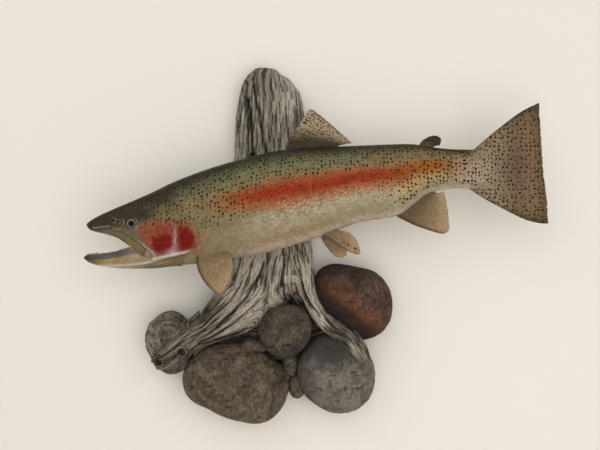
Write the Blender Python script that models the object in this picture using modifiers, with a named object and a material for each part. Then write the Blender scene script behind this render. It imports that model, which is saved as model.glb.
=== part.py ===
"""A mounted rainbow trout on a wall mount of driftwood and river stones, at life size.

Metres, +Z up, +X towards the trout's tail. The wall is the plane y = 0 and everything stands at -Y of it.
The origin is the hanging point on the flat back of the driftwood.
The trout is described in its own frame, which starts at the tip of the snout and has the same directions.
"""

import math

import bmesh
import bpy
import numpy as np
from mathutils import Matrix, Vector, noise

# ---- driving dimensions ----------------------------------------------------------------------------
SNOUT = Vector((-0.292, -0.115, -0.171))  # tip of the snout, on the trout's middle plane
SIDES = {"left": -1, "right": 1}  # the trout's own left faces away from the wall
BODY_END = 0.684  # where the scaled tail stem has run out into the tail fin, which carries on to about 0.750
BODY_CLOSE = 0.001  # the stem closes to a point within this length
GAP = 0.0004  # clearance between pieces that touch
NOSE_ROUND = 0.012  # length over which a jaw tip closes
NOSE_HEIGHT = 0.001
MOUTH_CORNER = (0.088, -0.038)
JAW_TIP = (-0.0036, -0.0560)
JAW_NARROWING = 0.10  # how much narrower the lower jaw's tip is than the upper one's, as a share
LIP = 0.0026
ROOF_RISE = 0.42  # shares of each jaw's height that its hollow takes
FLOOR_DROP = 0.55
VAULT_EDGE = 0.06  # share of a hollow's height that it has right at the lip
VAULT_FULLNESS = 0.8
THROAT_DEPTH = 0.034  # how far the mouth cavity runs behind its corner
THROAT_RISE = 0.006
THROAT_RINGS = (0.4, 0.8, 1.0)
THROAT_SIZE = 0.92
EYE_AT = (0.0765, 0.0012)
EYE_RADIUS = 0.0086
EYE_DEPTH = 0.0064
EYE_SET = 0.58  # share of the eye's depth from its middle to the side of the head
TEETH_SPAN = (0.010, 0.072)
TEETH_INSET = 0.55  # share of the lip's width
TOOTH = {"radius": 0.0011, "root": 0.0006, "lean_back": 0.35, "lean_in": 0.15}
TONGUE = {"x": 0.056, "z": -0.0530, "size": (0.034, 0.0095, 0.0060), "lean": -6}
FIN_THICKNESS = 0.0012
ADIPOSE_THICKNESS = 0.0036
FIN_FLARE = 0.8  # how fast a paired fin leaves the body
HEAD_BEND = -0.008  # the head and the tail both turn a little away from the wall
HEAD_BEND_END = 0.22
TAIL_BEND = -0.018
TAIL_BEND_START, TAIL_BEND_LENGTH = 0.40, 0.36

# ---- profiles of the trout: (distance from the snout, value) ----------------------------------------
BACK_LINE = [(0, 0.0032), (0.010, 0.0088), (0.028, 0.0181), (0.067, 0.0352), (0.105, 0.0519), (0.147, 0.0722),
             (0.243, 0.1048), (0.325, 0.1225), (0.447, 0.1296), (0.526, 0.1320), (0.577, 0.1251),
             (0.602, 0.1230), (0.628, 0.1225), (0.645, 0.1260), (0.660, 0.1285), (0.672, 0.1230),
             (0.680, 0.1130), (0.684, 0.1020)]
BELLY_LINE = [(-0.0036, -0.0600), (0.022, -0.0680), (0.060, -0.0724), (0.098, -0.0726), (0.150, -0.0677),
              (0.201, -0.0618), (0.285, -0.0482), (0.376, -0.0225), (0.447, 0.0031), (0.507, 0.0139),
              (0.564, 0.0525), (0.604, 0.0588), (0.628, 0.0575), (0.645, 0.0545), (0.660, 0.0550),
              (0.672, 0.0620), (0.680, 0.0720), (0.684, 0.0820)]
HALF_WIDTH = [(0, 0.0105), (0.030, 0.0158), (0.073, 0.0222), (0.120, 0.0312), (0.180, 0.0385),
              (0.300, 0.0425), (0.400, 0.0375), (0.480, 0.0285), (0.560, 0.0185), (0.620, 0.0112),
              (0.650, 0.0060), (0.672, 0.0022), (0.684, 0.0012)]
UPPER_LIP = [(0, -0.0062), (0.013, -0.0102), (0.038, -0.0161), (0.052, -0.0207), (0.065, -0.0285),
             (0.076, -0.0350), (0.088, -0.0380)]
LOWER_LIP = [(-0.0036, -0.0490), (0.009, -0.0495), (0.030, -0.0479), (0.047, -0.0450), (0.060, -0.0412),
             (0.074, -0.0378), (0.088, -0.0380)]
WIDEST_LINE = [(0.088, -0.0380), (0.140, -0.0120), (0.200, 0.0120), (0.300, 0.0350), (0.400, 0.0580),
               (0.500, 0.0750), (0.600, 0.0920), (0.684, 0.0915)]
UPPER_FULLNESS = [(0, 2.3), (0.080, 2.7), (0.200, 2.3), (0.684, 2.0)]
LOWER_FULLNESS = [(0, 2.0), (0.120, 2.2), (0.300, 2.3), (0.684, 2.0)]

# ---- where the flesh is divided: outlines in side view ----------------------------------------------
GILL_EDGE = [(0.126, 0.100), (0.140, 0.050), (0.160, 0.022), (0.178, 0.004), (0.186, -0.016),
             (0.183, -0.032), (0.172, -0.044), (0.166, -0.090)]
JAW_SPLIT = [(-0.020, -0.0290), (0.055, -0.0330), (0.088, -0.0380), (0.114, -0.0500), (0.106, -0.090)]
THROAT_TOP = [(0.114, -0.0500), (0.140, -0.0520), (0.172, -0.0440)]
GILL_COVER = [(0.116, -0.038), (0.112, -0.012), (0.120, 0.012), (0.142, 0.021), (0.160, 0.018),
              (0.176, 0.002), (0.183, -0.016), (0.180, -0.030), (0.168, -0.041), (0.140, -0.046)]
GILL_COVER_INNER = 0.0225
TRUNK_CUTS = (0.325, 0.455, 0.575)
DIVISION_STEPS = 14  # sides that stand for a smooth dividing line
REACH = 0.30  # longer than any cut has to be
AHEAD, BELOW, ABOVE = -0.03, -0.09, 0.20  # places clear of the trout on three sides

# ---- fins: base, leading edge, margin and trailing edge in side view, each from its start ------------
DORSAL = {
    "base": [(0.318, 0.108), (0.360, 0.112), (0.405, 0.118)],
    "lead": [(0.318, 0.108), (0.335, 0.144), (0.357, 0.180), (0.3655, 0.1905)],
    "margin": [(0.3655, 0.1905), (0.374, 0.186), (0.402, 0.163), (0.4345, 0.1335)],
    "trail": [(0.405, 0.118), (0.412, 0.1290), (0.4345, 0.1335)],
}
ADIPOSE = {
    "base": [(0.541, 0.126), (0.553, 0.124), (0.565, 0.122)],
    "lead": [(0.541, 0.126), (0.549, 0.1370), (0.560, 0.1440)],
    "margin": [(0.560, 0.1440), (0.571, 0.1455), (0.5795, 0.1400), (0.578, 0.1300)],
    "trail": [(0.565, 0.122), (0.568, 0.1275), (0.578, 0.1300)],
}
ANAL = {
    "base": [(0.504, 0.022), (0.535, 0.042), (0.566, 0.060)],
    "lead": [(0.504, 0.015), (0.528, 0.0025), (0.550, -0.0064), (0.575, -0.0141), (0.585, -0.0154)],
    "margin": [(0.585, -0.0154), (0.5925, -0.0105), (0.593, 0.0050), (0.590, 0.0300), (0.584, 0.0541)],
    "trail": [(0.566, 0.060), (0.572, 0.0515), (0.584, 0.0541)],
}
TAIL = {
    "base": [(0.624, 0.115), (0.634, 0.090), (0.616, 0.064)],
    "lead": [(0.624, 0.115), (0.6473, 0.1350), (0.663, 0.1488), (0.7057, 0.1816), (0.7385, 0.1985)],
    "margin": [(0.7385, 0.1985), (0.7395, 0.1690), (0.7420, 0.1286), (0.7450, 0.0880), (0.7500, 0.0420),
               (0.7530, 0.0015)],
    "trail": [(0.616, 0.064), (0.6473, 0.0436), (0.6687, 0.0314), (0.7109, 0.0095), (0.7374, 0.0020),
              (0.7530, 0.0015)],
}
# A paired fin also leaves the body sideways: "out" is how far its base and its tip stand from the middle.
PECTORAL_LEFT = {
    "base": [(0.181, -0.0460), (0.200, -0.0440), (0.231, -0.0440)],
    "lead": [(0.181, -0.0460), (0.184, -0.0720), (0.198, -0.0960), (0.217, -0.1120)],
    "margin": [(0.217, -0.1120), (0.225, -0.1080), (0.238, -0.0850), (0.241, -0.0600)],
    "trail": [(0.231, -0.0440), (0.238, -0.0500), (0.241, -0.0600)],
    "out": (0.0235, 0.0400),
}
PECTORAL_RIGHT = {
    "base": [(0.181, -0.0460), (0.196, -0.0440), (0.212, -0.0440)],
    "lead": [(0.181, -0.0460), (0.182, -0.0700), (0.190, -0.0900), (0.202, -0.1020)],
    "margin": [(0.202, -0.1020), (0.212, -0.0960), (0.218, -0.0780), (0.218, -0.0580)],
    "trail": [(0.212, -0.0440), (0.216, -0.0500), (0.218, -0.0580)],
    "out": (0.0235, 0.0300),
}
PELVIC_LEFT = {
    "base": [(0.384, -0.0150), (0.396, -0.0110), (0.404, -0.0060)],
    "lead": [(0.384, -0.0150), (0.404, -0.0280), (0.421, -0.0410), (0.440, -0.0490)],
    "margin": [(0.440, -0.0490), (0.4465, -0.0465), (0.441, -0.0260), (0.428, -0.0120)],
    "trail": [(0.404, -0.0060), (0.414, -0.0095), (0.428, -0.0120)],
    "out": (0.0120, 0.0230),
}
PELVIC_RIGHT = {
    "base": [(0.380, -0.0150), (0.390, -0.0130), (0.398, -0.0080)],
    "lead": [(0.380, -0.0150), (0.389, -0.0320), (0.400, -0.0460), (0.409, -0.0540)],
    "margin": [(0.409, -0.0540), (0.420, -0.0560), (0.427, -0.0480), (0.421, -0.0320)],
    "trail": [(0.398, -0.0080), (0.410, -0.0180), (0.421, -0.0320)],
    "out": (0.0120, 0.0180),
}
MAXILLA = [(0.0500, -0.0125, 0.0022), (0.0640, -0.0200, 0.0046), (0.0790, -0.0305, 0.0058),
           (0.0920, -0.0405, 0.0066), (0.1020, -0.0480, 0.0056), (0.1065, -0.0512, 0.0026)]
# (share of the half width, stand-off from the head) round the strap's section
MAXILLA_SECTION = [(-1, 0.0012), (-0.6, 0.0026), (0, 0.0031), (0.6, 0.0026), (1, 0.0012), (0.7, 0.0007),
                   (0, 0.0007), (-0.7, 0.0007)]

# ---- the mount: (x, z, half width, middle depth, half depth) along each limb of the driftwood ---------
TRUNK = [(0.004, 0.0995, 0.010, -0.024, 0.012), (0.001, 0.091, 0.027, -0.024, 0.021),
         (0.000, 0.080, 0.0375, -0.024, 0.026), (0.001, 0.062, 0.047, -0.024, 0.031),
         (0.004, 0.030, 0.0560, -0.023, 0.035), (0.005, -0.060, 0.0620, -0.023, 0.038),
         (0.0065, -0.150, 0.0645, -0.025, 0.038), (0.007, -0.205, 0.0675, -0.029, 0.038),
         (0.003, -0.250, 0.0735, -0.034, 0.038), (0.006, -0.285, 0.0680, -0.034, 0.034),
         (0.028, -0.308, 0.0420, -0.030, 0.026)]
ROOT_LEFT = [(0.000, -0.215, 0.050, -0.033, 0.036), (-0.018, -0.270, 0.052, -0.037, 0.037),
             (-0.045, -0.308, 0.047, -0.041, 0.037), (-0.073, -0.330, 0.038, -0.047, 0.034),
             (-0.100, -0.350, 0.0265, -0.052, 0.028), (-0.121, -0.3615, 0.0215, -0.058, 0.025),
             (-0.140, -0.375, 0.0205, -0.064, 0.0225), (-0.161, -0.391, 0.0190, -0.071, 0.0190),
             (-0.177, -0.401, 0.0155, -0.077, 0.0155), (-0.187, -0.406, 0.0090, -0.081, 0.0100)]
ROOT_RIGHT = [(0.050, -0.205, 0.0240, -0.034, 0.036), (0.062, -0.255, 0.0160, -0.040, 0.034),
              (0.070, -0.288, 0.0130, -0.047, 0.030), (0.084, -0.317, 0.0130, -0.053, 0.026),
              (0.108, -0.343, 0.0130, -0.060, 0.022), (0.135, -0.360, 0.0145, -0.071, 0.018),
              (0.149, -0.3755, 0.0140, -0.080, 0.015), (0.158, -0.388, 0.0125, -0.086, 0.012),
              (0.164, -0.397, 0.0070, -0.090, 0.007)]
WEB = [(0.040, -0.270, 0.020, -0.020, 0.022), (0.070, -0.312, 0.022, -0.020, 0.024),
       (0.105, -0.335, 0.020, -0.019, 0.022), (0.128, -0.348, 0.009, -0.017, 0.012)]
SADDLE = [(-0.112, -0.366, 0.012, -0.030, 0.014), (-0.080, -0.366, 0.026, -0.022, 0.022),
          (-0.030, -0.368, 0.030, -0.018, 0.022), (0.020, -0.380, 0.034, -0.018, 0.022),
          (0.065, -0.376, 0.038, -0.018, 0.022), (0.100, -0.360, 0.026, -0.019, 0.022),
          (0.128, -0.352, 0.010, -0.018, 0.014)]
STUB = [(-0.118, -0.358, 0.008, -0.056, 0.010), (-0.133, -0.345, 0.0070, -0.062, 0.008),
        (-0.125, -0.332, 0.0060, -0.066, 0.006), (-0.114, -0.319, 0.0030, -0.067, 0.003)]
LIMBS = (TRUNK, ROOT_LEFT, ROOT_RIGHT, WEB, SADDLE, STUB)

# A stone: middle, radius each 45 degrees anticlockwise from +X in front view, half depth, roughness seed.
STONES = {
    "rock_round": ((0.031, -0.064, -0.3535), (45.5, 49, 45, 44.5, 46.5, 44, 45.5, 41.5), 0.040, 3),
    "rock_brown": ((-0.054, -0.052, -0.4465), (91, 74, 70, 84, 91, 61, 60.5, 83), 0.050, 11),
    "rock_grey": ((0.1205, -0.046, -0.432), (65, 66.5, 74, 76, 68, 62, 64, 67), 0.048, 23),
    "rock_red": ((0.150, -0.042, -0.307), (66.5, 65.5, 63, 83, 64, 50, 62, 69), 0.044, 31),
    "rock_left": ((-0.168, -0.040, -0.376), (40, 46, 54.5, 48.5, 42, 43, 54.5, 48), 0.040, 47),
    "pebble_upper": ((-0.020, -0.064, -0.379), (24, 14, 10, 17, 24, 16, 10, 14), 0.014, 5),
    "pebble_middle": ((0.040, -0.040, -0.412), (13, 16, 21, 18, 14, 19, 23, 17), 0.020, 7),
    "pebble_lower": ((0.051, -0.036, -0.455), (13.5, 17, 27, 20, 15, 15, 18.5, 16), 0.020, 9),
}
STONE_FINISHES = {"rock_brown": "stone_brown", "rock_red": "stone_red", "pebble_upper": "stone_brown"}
ROCK_FACETS, PEBBLE_FACETS = (18, 8), (10, 6)  # sides of the outline, and rings from front to back
STONE_ROUGHNESS = 0.020
STONE_SWELL = 1.6  # low swells round a stone
STONE_EDGE, STONE_FLATNESS = 0.85, 0.90  # powers of the rounding towards the outline and towards the front
LIMB_SIDES = 11
LIMB_SQUARENESS = 0.85
WALL_CLEARANCE = 0.001  # the stones stop this far before the wall, so the driftwood alone bears on it
WALL_BLOCK = 1.6
PEG = {"x": 0.020, "z": -0.135, "radius": 0.017, "back": -0.050, "front": -0.090}

COLOURS = {
    "skin": ((0.33, 0.33, 0.22), 0.30), "fin": ((0.46, 0.37, 0.24), 0.40), "eye": ((0.10, 0.09, 0.07), 0.08),
    "mouth": ((0.55, 0.42, 0.38), 0.35), "wood": ((0.42, 0.39, 0.35), 0.75),
    "stone_grey": ((0.17, 0.16, 0.15), 0.70), "stone_brown": ((0.15, 0.12, 0.09), 0.70),
    "stone_red": ((0.16, 0.08, 0.055), 0.65), "peg": ((0.45, 0.33, 0.20), 0.70),
}
SHARP_ANGLE = math.radians(40)


# ---- small tools ---------------------------------------------------------------------------------------
def steady(knots):
    """A smooth curve through (x, value) knots that never overshoots them."""
    x, v = (np.array(column, float) for column in zip(*knots))
    step, rise = np.diff(x), np.diff(v) / np.diff(x)
    slope = np.concatenate([rise[:1], np.zeros(len(x) - 2), rise[-1:]])
    for i in range(1, len(x) - 1):
        if rise[i - 1] * rise[i] > 0:
            before, after = 2 * step[i] + step[i - 1], step[i] + 2 * step[i - 1]
            slope[i] = (before + after) / (before / rise[i - 1] + after / rise[i])

    def value(at):
        at = float(min(max(at, x[0]), x[-1]))
        i = min(int(np.searchsorted(x, at, side="right")) - 1, len(step) - 1)
        t = (at - x[i]) / step[i]
        start, end = (1 + 2 * t) * (1 - t) ** 2 * v[i], t * t * (3 - 2 * t) * v[i + 1]
        return start + end + step[i] * (t * (1 - t) ** 2 * slope[i] - t * t * (1 - t) * slope[i + 1])

    return value


def through(points, t):
    """The point at share t of a smooth open curve through the points."""
    p = [np.array(q, float) for q in points]
    p = [2 * p[0] - p[1], *p, 2 * p[-1] - p[-2]]
    lengths = np.cumsum([0] + [np.linalg.norm(p[i + 1] - p[i]) for i in range(1, len(p) - 2)])
    at = t * lengths[-1]
    i = min(int(np.searchsorted(lengths, at, side="right")) - 1, len(p) - 4)
    u = (at - lengths[i]) / (lengths[i + 1] - lengths[i])
    a, b, c, d = p[i:i + 4]
    return 0.5 * (2 * b + (c - a) * u + (2 * a - 5 * b + 4 * c - d) * u**2 + (3 * b - a - 3 * c + d) * u**3)


def smooth_line(points, steps):
    """The open line through the points as a row of equal steps."""
    return [tuple(through(points, i / steps)) for i in range(steps + 1)]


def smooth_loop(points, steps):
    """The closed outline through the points, as about that many sides."""
    laps = [*points, *points, *points, points[0]]
    return [tuple(through(laps, (1 + i / steps) / 3)) for i in range(steps)]


def collection(name):
    made = bpy.data.collections.new(name)
    bpy.context.scene.collection.children.link(made)
    return made


def material(name):
    if name not in bpy.data.materials:
        colour, roughness = COLOURS[name]
        made = bpy.data.materials.new(name)
        made.use_nodes = True
        shader = made.node_tree.nodes["Principled BSDF"]
        shader.inputs["Base Color"].default_value = (*colour, 1)
        shader.inputs["Roughness"].default_value = roughness
    return bpy.data.materials[name]


def empty(name, at):
    made = bpy.data.objects.new(name, None)
    made.location = at
    PARTS.objects.link(made)
    return made


def made_object(name, bm, parent, finish=None, at=(0, 0, 0)):
    """An object from a bmesh: a node with its finish, or a cutter without one."""
    mesh = bpy.data.meshes.new(name)
    bm.to_mesh(mesh)
    bm.free()
    made = bpy.data.objects.new(name, mesh)
    made.parent = parent
    made.location = at
    if finish:
        mesh.materials.append(material(finish))
        mesh.shade_smooth()
        mesh.set_sharp_from_angle(angle=SHARP_ANGLE)
        PARTS.objects.link(made)
    else:
        made.hide_render = True
        made.display_type = "WIRE"
        CUTTERS.objects.link(made)
    return made


def boolean(target, other, operation):
    step = target.modifiers.new(operation.lower(), "BOOLEAN")
    step.operation = operation
    step.object = other


def add_grid(bm, rows, closed=False):
    """Quads between neighbouring rows of points. A closed grid also joins each row's end to its start."""
    corners = [[bm.verts.new(p) for p in row] for row in rows]
    last = 0 if closed else 1
    for near, far in zip(corners, corners[1:]):
        for j in range(len(near) - last):
            k = (j + 1) % len(near)
            bm.faces.new((near[j], near[k], far[k], far[j]))
    return corners


def finished(bm, merge=1e-6):
    """Joins points that coincide and turns every face outwards."""
    bmesh.ops.remove_doubles(bm, verts=bm.verts, dist=merge)
    bmesh.ops.recalc_face_normals(bm, faces=bm.faces)
    return bm


def prism(name, outline, low, high):
    """A side-view outline in the trout's frame, carried across it from y = low to y = high."""
    bm = bmesh.new()
    face = bm.faces.new([bm.verts.new((x, low, z)) for x, z in outline])
    grown = bmesh.ops.extrude_face_region(bm, geom=[face])["geom"]
    moved = [v for v in grown if isinstance(v, bmesh.types.BMVert)]
    bmesh.ops.translate(bm, verts=moved, vec=(0, high - low, 0))
    bmesh.ops.recalc_face_normals(bm, faces=bm.faces)
    return made_object(name, bm, TROUT)


def inset(outline, by):
    """The outline with each side moved inwards by a distance, or outwards by a negative one."""
    area = sum(a[0] * b[1] - b[0] * a[1] for a, b in zip(outline, outline[1:] + outline[:1]))
    turn = math.copysign(1, area)
    moved = []
    for i, (x, z) in enumerate(outline):
        before, after = Vector(outline[i - 1]), Vector(outline[(i + 1) % len(outline)])
        d1, d2 = (Vector((x, z)) - before).normalized(), (after - Vector((x, z))).normalized()
        n1, n2 = Vector((-d1.y, d1.x)) * turn, Vector((-d2.y, d2.x)) * turn
        middle = (n1 + n2).normalized()
        shift = middle * by / max(middle.dot(n1), 0.35)
        moved.append((x + shift.x, z + shift.y))
    return moved


# ---- the trout's body ---------------------------------------------------------------------------------
back_line, belly_line, half_width = steady(BACK_LINE), steady(BELLY_LINE), steady(HALF_WIDTH)
upper_lip, lower_lip, widest_line = steady(UPPER_LIP), steady(LOWER_LIP), steady(WIDEST_LINE)
upper_fullness, lower_fullness = steady(UPPER_FULLNESS), steady(LOWER_FULLNESS)


def bend(x):
    """Sideways place of the trout's middle plane: the head and the tail turn away from the wall."""
    head = max(0.0, 1 - x / HEAD_BEND_END) ** 2
    tail = max(0.0, (x - TAIL_BEND_START) / TAIL_BEND_LENGTH) ** 2
    return HEAD_BEND * head + TAIL_BEND * tail


def rounding(distance):
    """From 0 at a jaw's tip to 1 where it has its full section, along a quarter circle."""
    share = min(distance / NOSE_ROUND, 1)
    return math.sqrt(max(0.0, 1 - (1 - share) ** 2))


def quarter(x, side, middle, edge, width, fullness, t):
    """A point on a quarter of the section: t is 0 at the midline (z = edge) and 1 at the widest level."""
    angle = t * math.pi / 2
    y = side * width * math.sin(angle) ** (2 / fullness)
    z = middle + (edge - middle) * math.cos(angle) ** (2 / fullness)
    return Vector((x, bend(x) + y, z))


def section(x, grow):
    """(top, upper lip, lower lip, bottom, upper width, lower width, lower x) of the body at distance x."""
    if x < MOUTH_CORNER[0]:
        jaw_x = MOUTH_CORNER[0] + (x - MOUTH_CORNER[0]) * (1 - JAW_TIP[0] / MOUTH_CORNER[0])
        closing = rounding(x)
        top = NOSE_HEIGHT + (back_line(x) - NOSE_HEIGHT) * closing
        upper = NOSE_HEIGHT + (upper_lip(x) - NOSE_HEIGHT) * closing
        lower = JAW_TIP[1] + (lower_lip(jaw_x) - JAW_TIP[1]) * closing
        bottom = JAW_TIP[1] + (belly_line(jaw_x) - JAW_TIP[1]) * closing
        width = half_width(x) * closing
        narrow = 1 - JAW_NARROWING * (1 - (x / MOUTH_CORNER[0]) ** 2)
        widths = (width + grow, width * narrow + grow)
        return top + grow, upper - grow, lower + grow, bottom - grow, *widths, jaw_x
    middle = widest_line(x)
    width = half_width(x) + grow
    return back_line(x) + grow, middle, middle, belly_line(x) - grow, width, width, x


def flank_rows(xs, side, steps, grow):
    """(upper rows, lower rows) of one flank, each from its midline to the widest level."""
    shares = [i / steps for i in range(steps + 1)]
    upper, lower = [], []
    for x in xs:
        top, lip_up, lip_low, bottom, w_up, w_low, jaw_x = section(x, grow)
        upper.append([quarter(x, side, lip_up, top, w_up, upper_fullness(x), t) for t in shares])
        lower.append([quarter(jaw_x, side, lip_low, bottom, w_low, lower_fullness(x), t) for t in shares])
    return upper, lower


def mouth_rows(xs, steps, grow):
    """(roof rows, floor rows) of the open mouth, from the jaw tips to its corner."""
    roof, floor = [], []
    for x in xs:
        top, lip_up, lip_low, bottom, w_up, w_low, jaw_x = section(x, 0)
        roof.append(arch(x, lip_up - grow, (top - lip_up) * ROOF_RISE, w_up, grow, steps))
        floor.append(arch(jaw_x, lip_low + grow, (bottom - lip_low) * FLOOR_DROP, w_low, grow, steps))
    return roof, floor


def body_mesh(xs, steps, grow=0.0):
    """The whole body as one closed skin, with the mouth cavity open between the jaws."""
    bm = bmesh.new()
    for side in (-1, 1):
        for rows in flank_rows(xs, side, steps, grow):
            add_grid(bm, rows)
    roof, floor = mouth_rows([x for x in xs if x <= MOUTH_CORNER[0]], steps, grow)
    add_grid(bm, roof)
    add_grid(bm, floor)
    add_grid(bm, throat_rows(roof[-1], floor[-1]), closed=True)
    last = ring_of(xs[-1], steps, grow)
    point = Vector((xs[-1] + BODY_CLOSE, bend(xs[-1]), widest_line(xs[-1])))
    add_grid(bm, [last, [point] * len(last)], closed=True)
    return finished(bm)


def arch(x, lip, height, width, grow, steps):
    """A row across the mouth from the left lip to the right one: a flat lip each side, then the vault."""
    inner = max(width - min(LIP, width / 2) - grow, 0.0)
    points = []
    for i in range(2 * steps + 1):
        turn = math.pi * (i - 1) / (2 * steps - 2)
        if i in (0, 2 * steps):
            y, rise = math.copysign(width + grow, i - 1), 0.0
        else:
            y = -inner * math.cos(turn)
            rise = VAULT_EDGE + (1 - VAULT_EDGE) * max(0.0, math.sin(turn)) ** VAULT_FULLNESS
        points.append(Vector((x, bend(x) + y, lip + height * rise)))
    return points


def throat_rows(roof, floor):
    """Closed rings that carry the mouth cavity back behind its corner and shut it."""
    ring = list(roof) + list(reversed(floor[1:-1]))
    middle = sum(ring, Vector()) / len(ring)
    rows = [ring]
    for share in THROAT_RINGS:
        shrink = math.sqrt(max(0.0, 1 - share**2)) * THROAT_SIZE
        back = Vector((THROAT_DEPTH, 0, THROAT_RISE)) * share
        rows.append([middle + back + (p - middle) * shrink for p in ring])
    return rows


def ring_of(x, steps, grow):
    """The closed outline of the body at x, in the order of the section's four quarters."""
    top, middle, _, bottom, width, _, _ = section(x, grow)
    ring = []
    for side, edge, forward in ((-1, top, True), (-1, bottom, False), (1, bottom, True), (1, top, False)):
        for i in range(steps):
            t = i / steps if forward else 1 - i / steps
            fullness = upper_fullness(x) if edge == top else lower_fullness(x)
            ring.append(quarter(x, side, middle, edge, width, fullness, t))
    return ring


def half_width_at(x, z, grow=0.0):
    """How far the flank stands from the middle plane at a side-view place."""
    top, upper, lower, bottom, w_up, w_low, _ = section(x, grow)
    if z >= upper:
        share, width, full = min((z - upper) / (top - upper), 1), w_up, upper_fullness(x)
    elif z <= lower:
        share, width, full = min((lower - z) / (lower - bottom), 1), w_low, lower_fullness(x)
    else:
        return (w_up + w_low) / 2
    return width * max(0.0, 1 - share**full) ** (1 / full)


BODY_ROWS = [0, 0.001, 0.004, 0.012, 0.024, 0.038, 0.052, 0.065, 0.076, 0.088, 0.100, 0.114, 0.130, 0.148,
             0.168, 0.190, 0.215, 0.245, 0.280, 0.318, 0.355, 0.395, 0.430, 0.465, 0.495, 0.515, 0.535, 0.555,
             0.575, 0.600, 0.622, 0.640, 0.654, 0.666, 0.674, 0.680, BODY_END]
BODY_STEPS = 6


def region(name, outline, low=-REACH, high=REACH, by=GAP / 2):
    return prism(name, inset(outline, by), low, high)


def flesh(name, *regions, without=()):
    """The part of the body inside every region, less the pieces set into it."""
    made = made_object(name, body_mesh(BODY_ROWS, BODY_STEPS), TROUT, "skin")
    for each in regions:
        boolean(made, each, "INTERSECT")
    for each in without:
        boolean(made, each, "DIFFERENCE")
    return made


def gill_line():
    """The rear edge of the head: a smooth line round the gill cover, then straight down."""
    return [*smooth_line(GILL_EDGE[:-1], DIVISION_STEPS), GILL_EDGE[-1]]


def eyeball(by):
    """A flattened ball, or the socket that clears it by a distance."""
    bm = bmesh.new()
    bmesh.ops.create_uvsphere(bm, u_segments=14, v_segments=6, radius=1)
    scale = Matrix.Diagonal((EYE_RADIUS + by, EYE_DEPTH + by, EYE_RADIUS + by, 1))
    bmesh.ops.transform(bm, verts=bm.verts, matrix=scale @ Matrix.Rotation(math.pi / 2, 4, "X"))
    return bm


def add_eyes():
    """Two eyeballs, set into the head so that about a third of each stands proud. Returns their sockets."""
    x, z = EYE_AT
    from_middle = half_width_at(x, z) - EYE_DEPTH * EYE_SET
    sockets = []
    for name, side in SIDES.items():
        at = (x, bend(x) + side * from_middle, z)
        made_object("eye_" + name, eyeball(0), TROUT, "eye", at)
        sockets.append(made_object("socket_" + name, eyeball(GAP), TROUT, at=at))
    return sockets


def teeth(name, lip_line, count, height, jaw):
    """A row of small backward-leaning cones along both sides of a jaw, as one helper to be joined to it."""
    bm = bmesh.new()
    first, last = TEETH_SPAN
    for side in SIDES.values():
        for i in range(count):
            x = first + (last - first) * i / (count - 1)
            _, _, _, _, w_up, w_low, _ = section(x, 0)
            y = side * ((w_up if jaw > 0 else w_low) - LIP * TEETH_INSET)
            base = Vector((x, bend(x) + y, lip_line(x) + jaw * TOOTH["root"]))
            up = Vector((TOOTH["lean_back"], -side * TOOTH["lean_in"], -jaw)).normalized()
            turn = Vector((0, 0, 1)).rotation_difference(up).to_matrix().to_4x4()
            place = Matrix.Translation(base + up * height / 2) @ turn
            bmesh.ops.create_cone(bm, cap_ends=True, segments=3, radius1=TOOTH["radius"], radius2=0,
                                  depth=height + 2 * TOOTH["root"], matrix=place)
    return made_object(name, bm, TROUT)


def add_head():
    cover = smooth_loop(GILL_COVER, DIVISION_STEPS + 2)
    jaw_outline = [*JAW_SPLIT, (JAW_SPLIT[0][0], BELOW)]
    throat_outline = [JAW_SPLIT[-2], *THROAT_TOP[1:], GILL_EDGE[-1], JAW_SPLIT[-1]]
    rooms = [region("jaw_room", jaw_outline, by=-GAP / 2), region("throat_room", throat_outline, by=-GAP / 2)]
    for name, side in SIDES.items():
        rooms.append(prism("gill_room_" + name, cover, *sorted((side * GILL_COVER_INNER, side * REACH))))
    head_outline = [(AHEAD, ABOVE), (GILL_EDGE[0][0], ABOVE), *gill_line(), (AHEAD, BELOW)]
    head = flesh("head", region("head_region", head_outline), without=[*rooms, *add_eyes()])
    boolean(head, teeth("upper_teeth", upper_lip, 8, 0.0022, 1), "UNION")
    jaw = flesh("jaw_lower", region("jaw_region", jaw_outline))
    boolean(jaw, teeth("lower_teeth", lower_lip, 9, 0.0026, -1), "UNION")
    flesh("throat", region("throat_region", throat_outline))
    for name, side in SIDES.items():
        span = sorted((side * (GILL_COVER_INNER + GAP), side * REACH))
        flesh("gill_cover_" + name, region("cover_region_" + name, cover, *span, by=GAP))
        add_maxilla("maxilla_" + name, side)
    add_tongue()


def add_maxilla(name, side):
    """The long upper-jaw bone that hangs over the corner of the mouth, fitted to the side of the head."""
    rows = []
    for i, (x, z, half) in enumerate(MAXILLA):
        near, far = MAXILLA[max(i - 1, 0)], MAXILLA[min(i + 1, len(MAXILLA) - 1)]
        across = Vector((near[1] - far[1], far[0] - near[0])).normalized()
        row = []
        for share, out in MAXILLA_SECTION:
            px, pz = x + across.x * half * share, z + across.y * half * share
            y = half_width_at(px, pz) + out
            row.append(Vector((px, bend(px) + side * y, pz)))
        rows.append(row)
    bm = bmesh.new()
    corners = add_grid(bm, rows, closed=True)
    bm.faces.new(corners[0])
    bm.faces.new(corners[-1])
    made_object(name, finished(bm), TROUT, "skin")


def add_tongue():
    """A flat tongue on the floor of the mouth."""
    bm = bmesh.new()
    bmesh.ops.create_uvsphere(bm, u_segments=10, v_segments=7, radius=1)
    bmesh.ops.scale(bm, verts=bm.verts, vec=TONGUE["size"])
    tongue = made_object("tongue", bm, TROUT, "mouth", (TONGUE["x"], bend(TONGUE["x"]), TONGUE["z"]))
    tongue.rotation_euler.y = math.radians(TONGUE["lean"])
    boolean(tongue, BODY_ROOM, "DIFFERENCE")


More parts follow.
